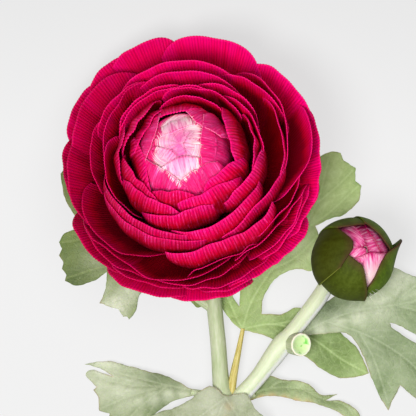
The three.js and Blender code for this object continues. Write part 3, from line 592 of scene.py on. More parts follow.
BUD_SEPALS = [
    (175, 43, 21.5, 13.8, 0.33, 0.2, 0),
    (240, 46, 28, 13.5, 0.05, 0.5, 0.8),
    (331, 50, 31, 13.5, 0.24, 0.28, 3.7),
    (45, 42, 30, 13.9, 0.1, 0.08, 0),
    (103, 36, 39, 13.6, 0.14, 0.1, 0.5),
]

BUD_PETALS = [
    (20, 85, 1, 11.7, 0.04, 0.04, 0),
    (130, 56, 2, 12, 0.2, 0.04, 0),
    (222, 42, 3, 12.2, 0.04, 0.06, 0),
    (32, 48, 21, 12.2, 0.1, 0.1, 0),
    (286, 75, 9, 12.5, 0.23, 0.32, 0),
]

# How brown each sepal is, and how deep the magenta of each petal.
SEPAL_SHADE = (1.0, 0.8, 0.0, 0.0, 0.45)
BUD_PETAL_SHADE = (0.3, 0.2, 0.25, 0.4, 0.0)

# How many degrees from the axis sepals and petals start, how deep the petals' roots sink, how
# thick both are, and the cells of their mesh.
SEPAL_ROOT = 166
BUD_PETAL_ROOT = 118
BUD_PETAL_SINK = 2.2
SEPAL_THICKNESS = 0.5
BUD_PETAL_THICKNESS = 0.3
BUD_COLUMNS = 72
BUD_ROWS = 60

# The bud's core, the least and most height of its ridges, and its mesh
CORE_RADIUS = 10.9
CORE_THICKNESS = 0.4
CORE_RIDGE = (0.15, 0.25)
CORE_RINGS = 40
CORE_SIDES = 60

# The power with which a bud leaf is shorter towards its sides, how far its anticlockwise side lies
# over the next leaf, how much it swells, and where and how widely that side stands off.
SIDE_POWER = 3
OVERLAP_LIFT = 0.25
BUD_SWELL = 0.12
STAND_OFF_PLACE = 1.0
STAND_OFF_WIDTH = 0.45

# The bud's foot and the calyx's ring: heights on the axis and radii.
BUD_FOOT = [(-14.6, 3.0), (-13.8, 4.0), (-12.8, 4.8)]
CALYX_RING = [(-1.4, 4.6), (-0.6, 5.4), (0.1, 5.0)]

# The bud's hairs: how many, how thick and how curled they are, from and to what length, from and to
# how many degrees from the axis and what azimuth they root, how far from the bud's centre, and which
# way they lean.
HAIRS = 16
HAIR_RADIUS = 0.06
HAIR_CURL = 0.35
HAIR_LENGTH = (0.9, 1.9)
HAIR_FROM_AXIS = (74, 92)
HAIR_AZIMUTH = (280, 300)
HAIR_ROOT = 13.2
HAIR_LEAN = np.array([0.2, 0, 0.5])

# The bloom's calyx: where its sepals start, how long they are, half their width at the foot beyond
# that at the tip, how much they arch, drop and wave, and how many cells they have each way.
CALYX_AZIMUTHS = (20, 92, 164, 236, 308)
CALYX_START = 3.4
CALYX_LENGTH = 13
CALYX_HALF_WIDTH = 26
CALYX_TIP_HALF_WIDTH = 4
CALYX_ARCH = 1.6
CALYX_DROP = 0.7
CALYX_WAVE = 0.1
CALYX_CELLS = 32


def add_bud_leaf(build, shape, shade, root_angle, sink, thickness, rng):
    """A sepal or petal of the bud, on a sphere round the bud's centre."""
    azimuth, half_width, tip, radius, clockwise, anticlockwise, stand_off = shape
    u, along = places(BUD_COLUMNS, BUD_ROWS)
    edge = 1 - np.where(u < 0, clockwise, anticlockwise) * np.abs(u) ** SIDE_POWER
    v = along * edge
    polar = np.radians(root_angle + (tip - root_angle) * v)
    swell = waves(u + 0.5 * v, rng, 3, BUD_SWELL) * np.sin(math.pi * v)
    lifted = stand_off * along**3 * np.exp(-(((u - STAND_OFF_PLACE) / STAND_OFF_WIDTH) ** 2))
    r = radius + OVERLAP_LIFT * u + lifted - sink * (1 - v) ** 3 + swell
    local = round_axis(r * np.sin(polar), np.radians(azimuth + half_width * u), r * np.cos(polar))
    width = np.radians(half_width) * radius * np.sin(np.radians(root_angle + (tip - root_angle) * along))
    add_sheet(
        build, placed(local, BUD_FRAME), thickness,
        across=width * u + rng.uniform(0, ACROSS_SHIFT), side=np.abs(u), seam=shade * np.maximum(u, 0),
        from_tip=(edge - v) * math.radians(root_angle) * radius, chance=rng.uniform(), shade=shade,
    )


def bud_piece(name, shapes, shades, root_angle, sink, thickness, node, material, seed, extra):
    build = Build()
    rng = np.random.default_rng(SEED + seed)
    for shape, shade in zip(shapes, shades):
        add_bud_leaf(build, shape, shade, root_angle, sink, thickness, rng)
    extra(build, rng)
    piece(name, build, material, node)


def add_foot(build, rings, frame_of):
    """A short round foot through rings of height and radius on a frame's axis."""
    stops = [[*placed(np.array([0, 0, z]), frame_of), radius] for z, radius in rings]
    add_tube(build, stops, cut=False, **FINE)


def add_hair(build, start, way, length, rng):
    """A fine curled hair, thick as a thread at its root and pointed at its tip."""
    t = np.linspace(0, 1, 7)[:, None]
    curl = rng.normal(0, HAIR_CURL, 3) * length
    centre = start + way * length * t + curl * t**2
    turn = np.radians([0, 120, 240])
    radius = HAIR_RADIUS * (1 - 0.85 * t)
    points = (centre[:, None, :] + radius[:, None] * round_axis(1, turn, 0 * turn)).reshape(-1, 3)
    index = np.arange(len(points)).reshape(-1, 3)
    build.add(points, [band(index), index[:1, ::-1], index[-1:]], hair=1.0)


def sepal_extras(build, rng):
    """The bud's foot, and the hairs at the foot of the gap between two sepals."""
    add_foot(build, BUD_FOOT, BUD_FRAME)
    for _ in range(HAIRS):
        polar, turn = np.radians([rng.uniform(*HAIR_FROM_AXIS), rng.uniform(*HAIR_AZIMUTH)])
        way = round_axis(np.sin(polar), turn, np.cos(polar))
        start = placed(HAIR_ROOT * way, BUD_FRAME)
        add_hair(build, start, BUD_FRAME[0] @ (way + HAIR_LEAN), rng.uniform(*HAIR_LENGTH), rng)


def bud_core(build, rng):
    """The tight inner petals, seen only between the outer ones."""
    polar = np.radians(np.linspace(2, 178, CORE_RINGS))[:, None]
    turn = np.linspace(0, 2 * math.pi, CORE_SIDES + 1)[None, :]
    r = CORE_RADIUS + rng.uniform(*CORE_RIDGE) * np.cos(5 * turn + 6 * polar)
    local = round_axis(r * np.sin(polar), turn, r * np.cos(polar))
    add_sheet(
        build, placed(local, BUD_FRAME), CORE_THICKNESS,
        across=10 * turn, side=0.5, from_tip=8.0, chance=0.5,
    )


def calyx_piece(material):
    build = Build()
    rng = np.random.default_rng(SEED + 7)
    u, v = places(CALYX_CELLS, CALYX_CELLS)
    radius = CALYX_START + CALYX_LENGTH * v
    half = math.radians(CALYX_HALF_WIDTH) * (1 - v**3) + math.radians(CALYX_TIP_HALF_WIDTH)
    for azimuth in CALYX_AZIMUTHS:
        height = CALYX_ARCH * v - CALYX_ARCH * v * v - CALYX_DROP + waves(u + v, rng, 3, CALYX_WAVE)
        local = round_axis(radius, math.radians(azimuth) + half * u, height)
        add_sheet(
            build, placed(local, BLOOM_FRAME), SEPAL_THICKNESS,
            across=radius * half * u, side=np.abs(u), from_tip=CALYX_LENGTH * (1 - v),
            chance=rng.uniform(),
        )
    add_foot(build, CALYX_RING, BLOOM_FRAME)
    piece("calyx_sepals", build, material, "bloom_calyx")


# Leaves
# Tints are the pale, the middle and the dark green. An outline goes once round the leaf in plan, in
# smooth stretches of x, y, x, y and so on, and each starts at a corner. Knots are x, y and the height
# of the blade's middle there. A petiole has stops of x, y, z and radius. Deep tone and shade, wan and
# tan are patches of these tones: x, y, reach and strength. The darker patches are partly the leaf's
# own tone and partly painted shade, next to the bud's stem, under overlapping leaves and in creases.
# Veins run in plan, x, y, x, y and so on, from the leaf's foot to the tips of its lobes.

LEAF_A = {
    "node": "leaf_back_right",
    "tints": [(178, 197, 138), (156, 177, 112), (125, 150, 81)],
    "outline": [
        (17, -54.5, 20, -55, 23.5, -56, 28, -58, 33, -61, 37.5, -63, 43, -67, 48, -70, 54, -70.5),
        (59.5, -69, 56.5, -62, 53, -58, 49, -54.5, 43.5, -50.5, 39, -47.5, 35, -47, 30, -49),
        (23.5, -49, 24, -44, 27, -38.5, 31.5, -35, 36, -34, 40.5, -34.5, 43.5, -31, 43.5, -25),
        (41.5, -19.5, 47, -17, 51.5, -15.5, 56, -11), (57, -6), (55, -4.5), (55, 0), (51, 2.5), (50, 5,
        47, 5.5, 43.5, 4, 39, 0, 35.5, -7.5, 32, -16, 25.5, -25, 19.5, -33, 16.5, -40), (16, -46.5,
        14, -43.5, 13, -39.5, 11, -36, 8, -36, 8, -41, 10, -46.5, 12.5, -50.5, 15, -53),
    ],
    "knots": [
        (17, -54, 4), (28, -53, 3.4), (42, -60, 1.8), (59, -69, 0.2), (20, -40, 3.4), (36, -29, 2.4),
        (52, -12, 0.3), (47, 5, 0.2), (56, -4, 0.2), (30, -12, 1.6), (9, -38, 1.4), (13, -47, 2.2),
    ],
    "petiole": [(13, -77.5, 5.4, 1.5), (14, -70, 5, 1.35), (15.6, -62, 4.6, 1), (17.2, -54, 3.9, 0.7)],
    "deep": [(46, -62, 14, 0.95), (32, -55, 10, 0.95), (22, -50, 8, 0.55), (11, -42, 6, 0.5)],
    "wan": [(28, -22, 12, 0.4)],
    "veins": [
        (17, -54, 20, -45, 27, -34, 36, -22, 42, -12, 46, 3), (36, -22, 45, -16, 56, -6), (42, -12,
        49, -6, 54, -1), (27, -34, 35, -30, 43, -22), (17, -54, 28, -52.5, 40, -57, 50, -64, 59, -69),
        (28, -52.5, 38, -51, 47, -54), (17, -54, 14, -48, 10, -38),
    ],
}

LEAF_B = {
    "node": "leaf_right",
    "tints": [(164, 174, 142), (138, 152, 114), (108, 126, 84)],
    "outline": [
        (36, -57, 41, -56, 47, -55.5, 52, -55.5, 55, -58.5, 57.5, -63, 60, -69.5, 63, -76.5),
        (66, -81.5, 68.5, -76), (70, -73, 73.5, -76, 78, -79), (85, -81, 86, -75.5, 84.5, -69,
        81, -63.5, 75.5, -59, 70.5, -56), (67, -53.5), (66.5, -52, 70, -53, 75, -56, 81, -58.5),
        (90, -58, 89.5, -52.5), (87, -49, 89, -44), (87, -40, 82, -38, 75, -36.5, 68, -33.5, 62, -32,
        55.5, -35.5, 49.5, -42, 44.5, -45.5, 40, -50, 37, -54),
    ],
    "knots": [
        (36, -56, 5), (44, -52, 5.6), (55, -48, 5.4), (56, -60, 4.2), (66, -80, 0.2), (60, -68, 2.6),
        (85, -80, 0.2), (74, -66, 2.2), (90, -57, 0.2), (78, -48, 2), (87, -40, 0.2), (62, -34, 3.4),
        (50, -42, 4.2),
    ],
    "petiole": [(31.5, -58.6, 5.2, 1.6), (34.5, -57.2, 5.2, 1.6), (38, -55.2, 5.2, 1.2)],
    "deep": [
        (41, -50, 5, 1), (46, -46.5, 5.5, 1), (52, -42, 5.5, 0.85), (63, -60, 10, 0.3),
        (80, -66, 12, 0.3),
    ],
    "wan": [
        (38, -55, 2.5, 0.8), (43, -53.6, 2.6, 0.8), (49, -52, 3, 0.8), (56, -49, 4, 0.8),
        (63, -46, 6, 0.7), (70, -37, 8, 0.7),
    ],
    "veins": [
        (36, -56, 45, -51.5, 55, -48, 68, -46, 78, -44, 87, -41), (68, -46, 78, -49, 89, -56),
        (45, -51.5, 56, -55, 66, -60, 75, -67, 84, -80), (56, -55, 61, -64, 66, -79), (55, -48, 60, -40,
        64, -34), (68, -46, 73, -41, 78, -38),
    ],
}

LEAF_C = {
    "node": "leaf_back_left",
    "tints": [(140, 152, 92), (114, 130, 66), (86, 106, 44)],
    "outline": [
        (5, -48, 4, -46.5, 2, -47, 0, -45, -5, -42, -12, -40.5, -17, -42, -18, -45, -19, -48.5),
        (-21, -51, -21.5, -50), (-23, -50), (-24.5, -47.5), (-31, -45.5, -29, -41), (-28.5, -35,
        -33, -38, -38.5, -39.5), (-42.5, -38), (-42, -36), (-43.5, -34, -43, -32), (-44.5, -29.5),
        (-43.5, -27), (-44.5, -25, -43, -22.5, -38.5, -20), (-34.5, -18, -38.5, -16.5, -42, -11.5,
        -43.5, -6), (-44, -2, -41, 1.5, -36.5, 2, -32, -1.5, -26.5, -9.5, -20, -17, -11, -24, -3, -33),
        (5, -44),
    ],
    "knots": [
        (5, -46, 4.8), (-4, -38, 4.2), (-16, -32, 3), (-22, -50, 0.2), (-30, -44, 0.2), (-42, -37, 0.2),
        (-38, -28, 0.3), (-44, -24, 0.2), (-42, -4, 0.2), (-36, -2, 0.2), (-28, -18, 1.6),
    ],
    "petiole": [(7, -47.4, 5, 1.5), (3, -44.6, 4.8, 1.5), (-4, -39, 4.3, 1.1), (-12, -33, 3.5, 0.8)],
    "deep": [(-40, -38, 7, 0.9), (-44, -30, 5, 0.6), (-44, -8, 8, 0.5)],
    "wan": [(-26, -46, 7, 0.95), (-21, -42, 6, 0.8), (-31, -30, 6, 0.35)],
    "veins": [
        (5, -46, -5, -39, -15, -33.5, -24, -27, -34, -14, -41, -2), (-24, -27, -33, -24, -43.5, -25),
        (-15, -33.5, -28, -33, -42, -37), (-15, -33.5, -23, -38, -30, -44), (-5, -39, -14, -41,
        -21, -50), (-34, -14, -37, -8, -36, 1), (-5, -39, -9, -33, -15, -24),
    ],
}

LEAF_E = {
    "node": "leaf_folded",
    "tints": [(168, 180, 138), (146, 160, 114), (112, 130, 80)],
    "outline": [
        (17, -75, 19, -72.5, 22, -70.5, 25, -69.5, 30.5, -71, 36, -71.5, 40, -73, 43, -76), (49, -76),
        (45, -78, 51, -78.5, 55, -81, 58, -87), (58.5, -91.5, 55, -88.5, 52, -84, 47, -81, 41, -79,
        35, -78, 28, -76.5, 23, -77), (18.5, -78.5),
    ],
    "knots": [
        (18, -77, 4.4), (24, -71, 2.6), (26, -76, 5.2), (36, -72, 2.2), (38, -78, 4.6), (49, -76, 1.4),
        (50, -82, 2.6), (58, -90, 0.2),
    ],
    "petiole": [(13, -79.6, 4.4, 1.5), (17, -77.6, 4.4, 1.5), (21, -75.8, 4.4, 1.2)],
    "deep": [(21, -74, 4.5, 0.9), (28, -72, 5, 0.7), (47, -79.5, 5, 0.4)],
    "tan": [
        (20, -78.6, 1.5, 1), (23.5, -77.7, 1.5, 1), (27, -77.3, 1.5, 1), (31, -77.9, 1.5, 1),
        (35, -78.8, 1.5, 1), (39, -79.2, 1.4, 0.8),
    ],
    "veins": [
        (18, -76.5, 26, -74, 36, -74, 44, -77.5, 52, -80, 57.5, -90), (36, -74, 42, -74.5, 48, -76),
        (26, -74, 29, -72, 33, -71.5),
    ],
}

LEAF_F = {
    "node": "leaf_left",
    "tints": [(158, 164, 134), (136, 146, 110), (106, 122, 78)],
    "outline": [
        (3, -74.5, -0.5, -74, -4, -72, -8, -70, -15.5, -68, -21, -66.5, -27, -65, -31, -65), (-36, -66,
        -31.5, -67), (-26.5, -70, -29.5, -69, -32, -68, -34.5, -68, -35.5, -69.5), (-32, -73.5),
        (-33, -74.5, -31.5, -77), (-31, -81.5), (-27.5, -82.5, -28, -86.5), (-30, -91, -25.5, -93,
        -20.5, -91, -16, -86.5, -11, -81.5, -6.5, -78.5, -2, -77), (2.5, -76),
    ],
    "knots": [
        (3, -75, 4.2), (-5, -74, 4), (-12, -70, 2.6), (-14, -76, 3.8), (-24, -68, 1.4), (-34, -67, 0.2),
        (-32, -80, 0.2), (-29, -90, 0.2), (-18, -86, 1),
    ],
    "petiole": [(9.5, -79, 4.2, 1.5), (5, -76.5, 4.2, 1.5), (0, -75.2, 4.2, 1.1)],
    "deep": [(-12, -70.5, 5, 0.8), (-6, -73, 3, 0.6), (-10, -79, 5, 0.5)],
    "wan": [
        (-30, -67.5, 7, 0.9), (-23, -74, 7, 0.6), (-3, -75.3, 2.4, 0.6), (-8, -76, 2.6, 0.6),
        (-13, -77, 2.8, 0.6), (-18, -78.5, 3, 0.5),
    ],
    "veins": [
        (3, -75, -8, -73, -20, -70, -34, -66.5), (-8, -73, -20, -73, -34, -69.5), (-8, -73, -19, -76,
        -31, -81), (-8, -73, -17, -80, -23, -86, -29, -91),
    ],
}

LEAF_G = {
    "node": "leaf_front",
    "tints": [(174, 178, 154), (154, 160, 132), (128, 136, 102)],
    "outline": [
        (6, -73, 2.5, -75, -1, -78, -6, -80.5, -11, -82, -15, -84.5), (-18, -92, -13, -93.5),
        (-8.5, -92.5, -8, -97.5), (-5, -102, -1, -100.5), (1.5, -96.5, 4, -102), (7.5, -107,
        12, -103.5), (14.5, -98, 18, -101.5), (23, -103, 24, -98), (23, -93.5, 26, -91), (27.5, -87.5,
        24.5, -83.5, 21, -80.5, 19.5, -77, 18, -75.5, 14.5, -76, 11, -76, 8.5, -74),
    ],
    "knots": [
        (11.4, -80, 9.4), (6, -74, 8.6), (18, -76, 9), (11, -92, 7.2), (9, -106, 6.4), (-2, -84, 6.6),
        (-17, -91, 1), (-5, -101, 1.6), (-10, -88, 3.6), (22, -84, 7.4), (24, -101, 1.4),
        (27, -88, 4.2), (1, -96, 5.6), (16, -97, 5.4),
    ],
    "deep": [(12, -77.5, 2.5, 0.5)],
    "tan": [(12.5, -80, 1.5, 0.4), (11.5, -84, 1.2, 0.3)],
    "veins": [
        (11.4, -77, 8, -86, 7.5, -95, 8, -106), (11.4, -77, 2, -84, -5, -90, -17, -91), (2, -84,
        -1, -92, -5, -101), (11.4, -77, 17, -86, 20, -93, 22.5, -102), (17, -86, 22, -87, 27, -88),
        (8, -86, 13, -91, 15, -97),
    ],
}

LEAVES = {"A": LEAF_A, "B": LEAF_B, "C": LEAF_C, "E": LEAF_E, "F": LEAF_F, "G": LEAF_G}
LEAF_SEED = 20

# The mesh of a blade: its thickness, the share of it at the edge and what it gains within a reach,
# the size of its cells, the length of its edge's steps and how much the edge waves.
LEAF_THICKNESS = 0.5
THIN_EDGE = 0.55
THIN_EDGE_GAIN = 0.45
THIN_EDGE_REACH = 1.2
LEAF_CELL = 0.6
EDGE_STEP = 0.6
EDGE_WAVE = 0.14

# Side veins: how far apart they are, how far they reach, and at which angle in radians they leave a
# main vein and how much they turn forwards.
SIDE_VEIN_PITCH = 4.6
SIDE_VEIN_REACH = 7.5
SIDE_VEIN_ANGLE = 0.85
SIDE_VEIN_TURN = 0.35

# The relief of a blade: its swells, the grooves of its main and side veins and their half widths,
# the puff between veins and its reach, and the lift of its edge and its reach.
SWELL = 0.3
MAIN_GROOVE = 0.22
MAIN_GROOVE_WIDTH = 0.8
SIDE_GROOVE = 0.1
SIDE_GROOVE_WIDTH = 0.5
PUFF = 0.22
PUFF_REACH = 2.2
EDGE_LIFT = 0.25
EDGE_LIFT_REACH = 1.5


def height_at(knots, x, y):
    """A height between the knots, which are weighed by how near they are."""
    knots = np.asarray(knots, float)
    weight = 1 / ((x[:, None] - knots[:, 0]) ** 2 + (y[:, None] - knots[:, 1]) ** 2 + 4) ** 1.6
    return np.maximum((weight * knots[:, 2]).sum(1) / weight.sum(1), 0.4)


def flat_line(stops, step):
    """A smooth line in plan through stops of x, y, x, y and so on."""
    return smooth_line([(x, y, 0) for x, y in np.reshape(stops, (-1, 2))], step)[:, :2]


def outline_chain(outline, rng):
    """The leaf's edge: smooth stretches from corner to corner, a little uneven."""
    chain = []
    for stretch, after in zip(outline, [*outline[1:], outline[0]]):
        line = flat_line([*stretch, *after[:2]], EDGE_STEP)
        way = np.gradient(line, axis=0)
        side = np.stack([-way[:, 1], way[:, 0]], 1)
        side /= np.maximum(np.linalg.norm(side, axis=1, keepdims=True), 1e-9)
        place = np.linspace(-1, 1, len(line))
        uneven = waves(place * len(line) / 14, rng, 4, EDGE_WAVE) * (1 - place**8)
        chain.append(line[:-1] + side[:-1] * uneven[:-1, None])
    return np.vstack(chain)


def inside_of(chain, points):
    x, y = points[:, 0, None], points[:, 1, None]
    a, b = chain, np.roll(chain, -1, 0)
    crosses = (a[:, 1] > y) != (b[:, 1] > y)
    span = np.where(b[:, 1] == a[:, 1], 1e-9, b[:, 1] - a[:, 1])
    hits = crosses & (x < (b[:, 0] - a[:, 0]) * (y - a[:, 1]) / span + a[:, 0])
    return hits.sum(1) % 2 == 1


def distance_to(lines, points, batch=2000):
    """The distance in plan from each point to the nearest of the lines."""
    first = np.vstack([line[:-1] for line in lines])
    way = np.vstack([line[1:] for line in lines]) - first
    length = np.maximum((way**2).sum(1), 1e-9)
    best = []
    for start in range(0, len(points), batch):
        part = points[start : start + batch, None, :]
        t = np.clip(((part - first) * way).sum(2) / length, 0, 1)
        best.append(np.linalg.norm(part - (first + t[..., None] * way), axis=2).min(1))
    return np.concatenate(best)


def vein_lines(veins, rng):
    """The main veins, and the side veins that leave them forwards on both sides."""
    main = [flat_line(vein, 1.0) for vein in veins]
    side = []
    for line in main:
        count = int(len(line) / SIDE_VEIN_PITCH)
        for k in range(1, count):
            at = int(k * SIDE_VEIN_PITCH + rng.uniform(-0.8, 0.8))
            if at + 1 >= len(line):
                continue
            way = line[at + 1] - line[at]
            heading = math.atan2(way[1], way[0])
            for hand in (-1, 1):
                reach = SIDE_VEIN_REACH * rng.uniform(0.8, 1.3) * (1 - 0.5 * k / count)
                t = np.linspace(0, 1, 8)[:, None]
                turn = heading + hand * (SIDE_VEIN_ANGLE - SIDE_VEIN_TURN * t)
                side.append(line[at] + reach * t * np.hstack([np.cos(turn), np.sin(turn)]))
    return main, side


def blade_plan(closed, rng):
    """Points in plan that fill a closed edge, and upward triangles between them."""
    chain = closed[:-1]
    low, high = chain.min(0), chain.max(0)
    rows = np.arange(low[1], high[1], LEAF_CELL * 0.866)
    columns = np.arange(low[0], high[0], LEAF_CELL)
    grid = np.array([(x + 0.5 * LEAF_CELL * (k % 2), y) for k, y in enumerate(rows) for x in columns])
    grid += rng.uniform(-0.1, 0.1, grid.shape) * LEAF_CELL
    grid = grid[inside_of(chain, grid)]
    grid = grid[distance_to([closed], grid) > 0.45 * LEAF_CELL]
    loop = [(k, (k + 1) % len(chain)) for k in range(len(chain))]
    found = delaunay_2d_cdt(np.vstack([chain, grid]).tolist(), loop, [], 1, 1e-6)
    plan = np.array([tuple(point) for point in found[0]])
    faces = np.array([face for face in found[2] if len(face) == 3])
    a, b, c = plan[faces[:, 0]], plan[faces[:, 1]], plan[faces[:, 2]]
    area = (b[:, 0] - a[:, 0]) * (c[:, 1] - a[:, 1]) - (b[:, 1] - a[:, 1]) * (c[:, 0] - a[:, 0])
    return plan, np.where((area > 0)[:, None], faces, faces[:, ::-1])


def blade_heights(knots, x, y, from_main, from_side, from_edge, seed):
    """The height of the blade's middle and half its thickness at each point."""
    height = height_at(knots, x, y)
    swell = SWELL * np.sin(x * 0.33 + seed) * np.sin(y * 0.29 + 2 * seed)
    lift = EDGE_LIFT * np.exp(-from_edge / EDGE_LIFT_REACH) * np.sin(0.5 * (x + y) + seed)
    main_groove = MAIN_GROOVE * np.exp(-((from_main / MAIN_GROOVE_WIDTH) ** 2))
    groove = main_groove + SIDE_GROOVE * np.exp(-((from_side / SIDE_GROOVE_WIDTH) ** 2))
    puff = PUFF * np.minimum(from_main, PUFF_REACH) / PUFF_REACH
    relief = np.clip(height, 0, 1) * (puff - groove)
    middle = height + np.clip(height - 0.6, 0, 1) * (swell + lift) + relief
    gain = THIN_EDGE_GAIN * np.clip(from_edge / THIN_EDGE_REACH, 0, 1)
    half = 0.5 * LEAF_THICKNESS * (THIN_EDGE + gain)
    return np.maximum(middle, half), half


def tone_fields(leaf, x, y):
    """How strong each kind of patch is at each point of a leaf."""
    fields = {}
    for kind in ("deep", "wan", "tan"):
        for at_x, at_y, reach, strength in leaf.get(kind, []):
            near = strength * np.exp(-((x - at_x) ** 2 + (y - at_y) ** 2) / reach**2)
            fields[kind] = np.maximum(fields.get(kind, 0.0), near)
    return fields


def blade_piece(leaf, material, seed):
    rng = np.random.default_rng(SEED + seed)
    chain = outline_chain(leaf["outline"], rng)
    closed = np.vstack([chain, chain[:1]])
    plan, faces = blade_plan(closed, rng)
    x, y = plan.T
    main, side = vein_lines(leaf["veins"], rng)
    near = [distance_to(lines, plan) for lines in (main, side, [closed])]
    middle, half = blade_heights(leaf["knots"], x, y, *near, seed)
    points = np.vstack([np.column_stack([x, y, middle + half]), np.column_stack([x, y, middle - half])])

    count = len(plan)
    sides = faces[:, [0, 1, 1, 2, 2, 0]].reshape(-1, 2)
    _, where, uses = np.unique(np.sort(sides, axis=1), axis=0, return_index=True, return_counts=True)
    start, stop = sides[where[uses == 1]].T
    edge = np.column_stack([stop, start, start + count, stop + count])
    fields = dict(zip(("from_main", "from_side", "from_edge"), near)) | tone_fields(leaf, x, y)
    build = Build()
    build.add(
        points, [faces, faces[:, ::-1] + count, edge],
        under=np.repeat([0.0, 1.0], count), **{key: np.tile(value, 2) for key, value in fields.items()},
    )
    piece(leaf["node"] + "_blade", build, material, leaf["node"])


def petiole_piece(leaf, material):
    build = Build()
    add_tube(build, leaf["petiole"], sides=28, step=0.4, ridges=7)
    piece(leaf["node"] + "_petiole", build, material, leaf["node"])


# Materials
# Colours are sRGB values of 0 to 255, and become linear when they go into a node.


def colour(rgb, share=1):
    """A linear colour with alpha, dimmed to a share."""
    parts = [value / 255 for value in rgb]
    linear = [part / 12.92 if part <= 0.04045 else ((part + 0.055) / 1.055) ** 2.4 for part in parts]
    return (*(share * part for part in linear), 1)


class Value:
    """A node's output. Arithmetic with it adds math nodes."""

    def __init__(self, shader, socket):
        self.shader = shader
        self.socket = socket

    def __add__(self, other):
        return self.shader.math("ADD", self, other)

    def __sub__(self, other):
        return self.shader.math("SUBTRACT", self, other)

    def __rsub__(self, other):
        return self.shader.math("SUBTRACT", other, self)

    def __mul__(self, other):
        return self.shader.math("MULTIPLY", self, other)

    def __truediv__(self, other):
        return self.shader.math("DIVIDE", self, other)

    def __pow__(self, other):
        return self.shader.math("POWER", self, other)

    def scaled(self, low, high, new_low=0.0, new_high=1.0):
        """The new low where this is low or less, the new high where it is high or more."""
        inputs = {0: self, 1: low, 2: high, 3: new_low, 4: new_high}
        return self.shader.add("MapRange", inputs, clamp=True)

    def tint(self, factor, rgb):
        """This colour, mixed with another one by a factor."""
        return self.shader.mix(factor, self, colour(rgb))


class Shader:
    """A material under construction. An input is a plain value or a Value."""

    def __init__(self, name):
        self.material = bpy.data.materials.new(name)
        self.material.use_nodes = True
        self.tree = self.material.node_tree
        self.surface = self.tree.nodes["Principled BSDF"]

    def put(self, socket, value):
        if isinstance(value, Value):
            self.tree.links.new(value.socket, socket)
        else:
            socket.default_value = value

    def add(self, kind, inputs, out=0, **settings):
        made = self.tree.nodes.new("ShaderNode" + kind)
        for key, value in settings.items():
            setattr(made, key, value)
        for key, value in inputs.items():
            self.put(made.inputs[key], value)
        return Value(self, made.outputs[out])

    def reads(self, *names):
        """The mesh's point fields of these names."""
        return [self.add("Attribute", {}, out=2, attribute_name=name) for name in names]

    def place(self):
        return self.add("TexCoord", {}, out=3)

    def math(self, operation, *values):
        return self.add("Math", dict(enumerate(values)), operation=operation)

    def vector(self, x, y, z):
        return self.add("CombineXYZ", {0: x, 1: y, 2: z})

    def noise(self, vector, scale, detail=3.0, roughness=0.5):
        inputs = {"Vector": vector, "Scale": scale, "Detail": detail, "Roughness": roughness}
        return self.add("TexNoise", inputs)

    def ramp(self, value, stops):
        """A colour for each value from 0 to 1, through stops of value and colour."""
        made = self.add("ValToRGB", {0: value})
        elements = made.socket.node.color_ramp.elements
        while len(elements) < len(stops):
            elements.new(1.0)
        for element, (place, rgb) in zip(elements, stops.items()):
            element.position = place
            element.color = colour(rgb)
        return made

    def mix(self, factor, first, second, blend="MIX"):
        inputs = {0: factor, 6: first, 7: second}
        return self.add("Mix", inputs, out=2, data_type="RGBA", blend_type=blend)

    def finish(self, base, roughness, bump=None, strength=1.0, distance=0.1, **constants):
        self.put(self.surface.inputs["Base Color"], base)
        self.put(self.surface.inputs["Roughness"], roughness)
        if bump is not None:
            inputs = {"Strength": strength, "Distance": distance * MM, "Height": bump}
            self.put(self.surface.inputs["Normal"], self.add("Bump", inputs))
        for key, value in constants.items():
            self.surface.inputs[key.replace("_", " ")].default_value = value
        return self.material


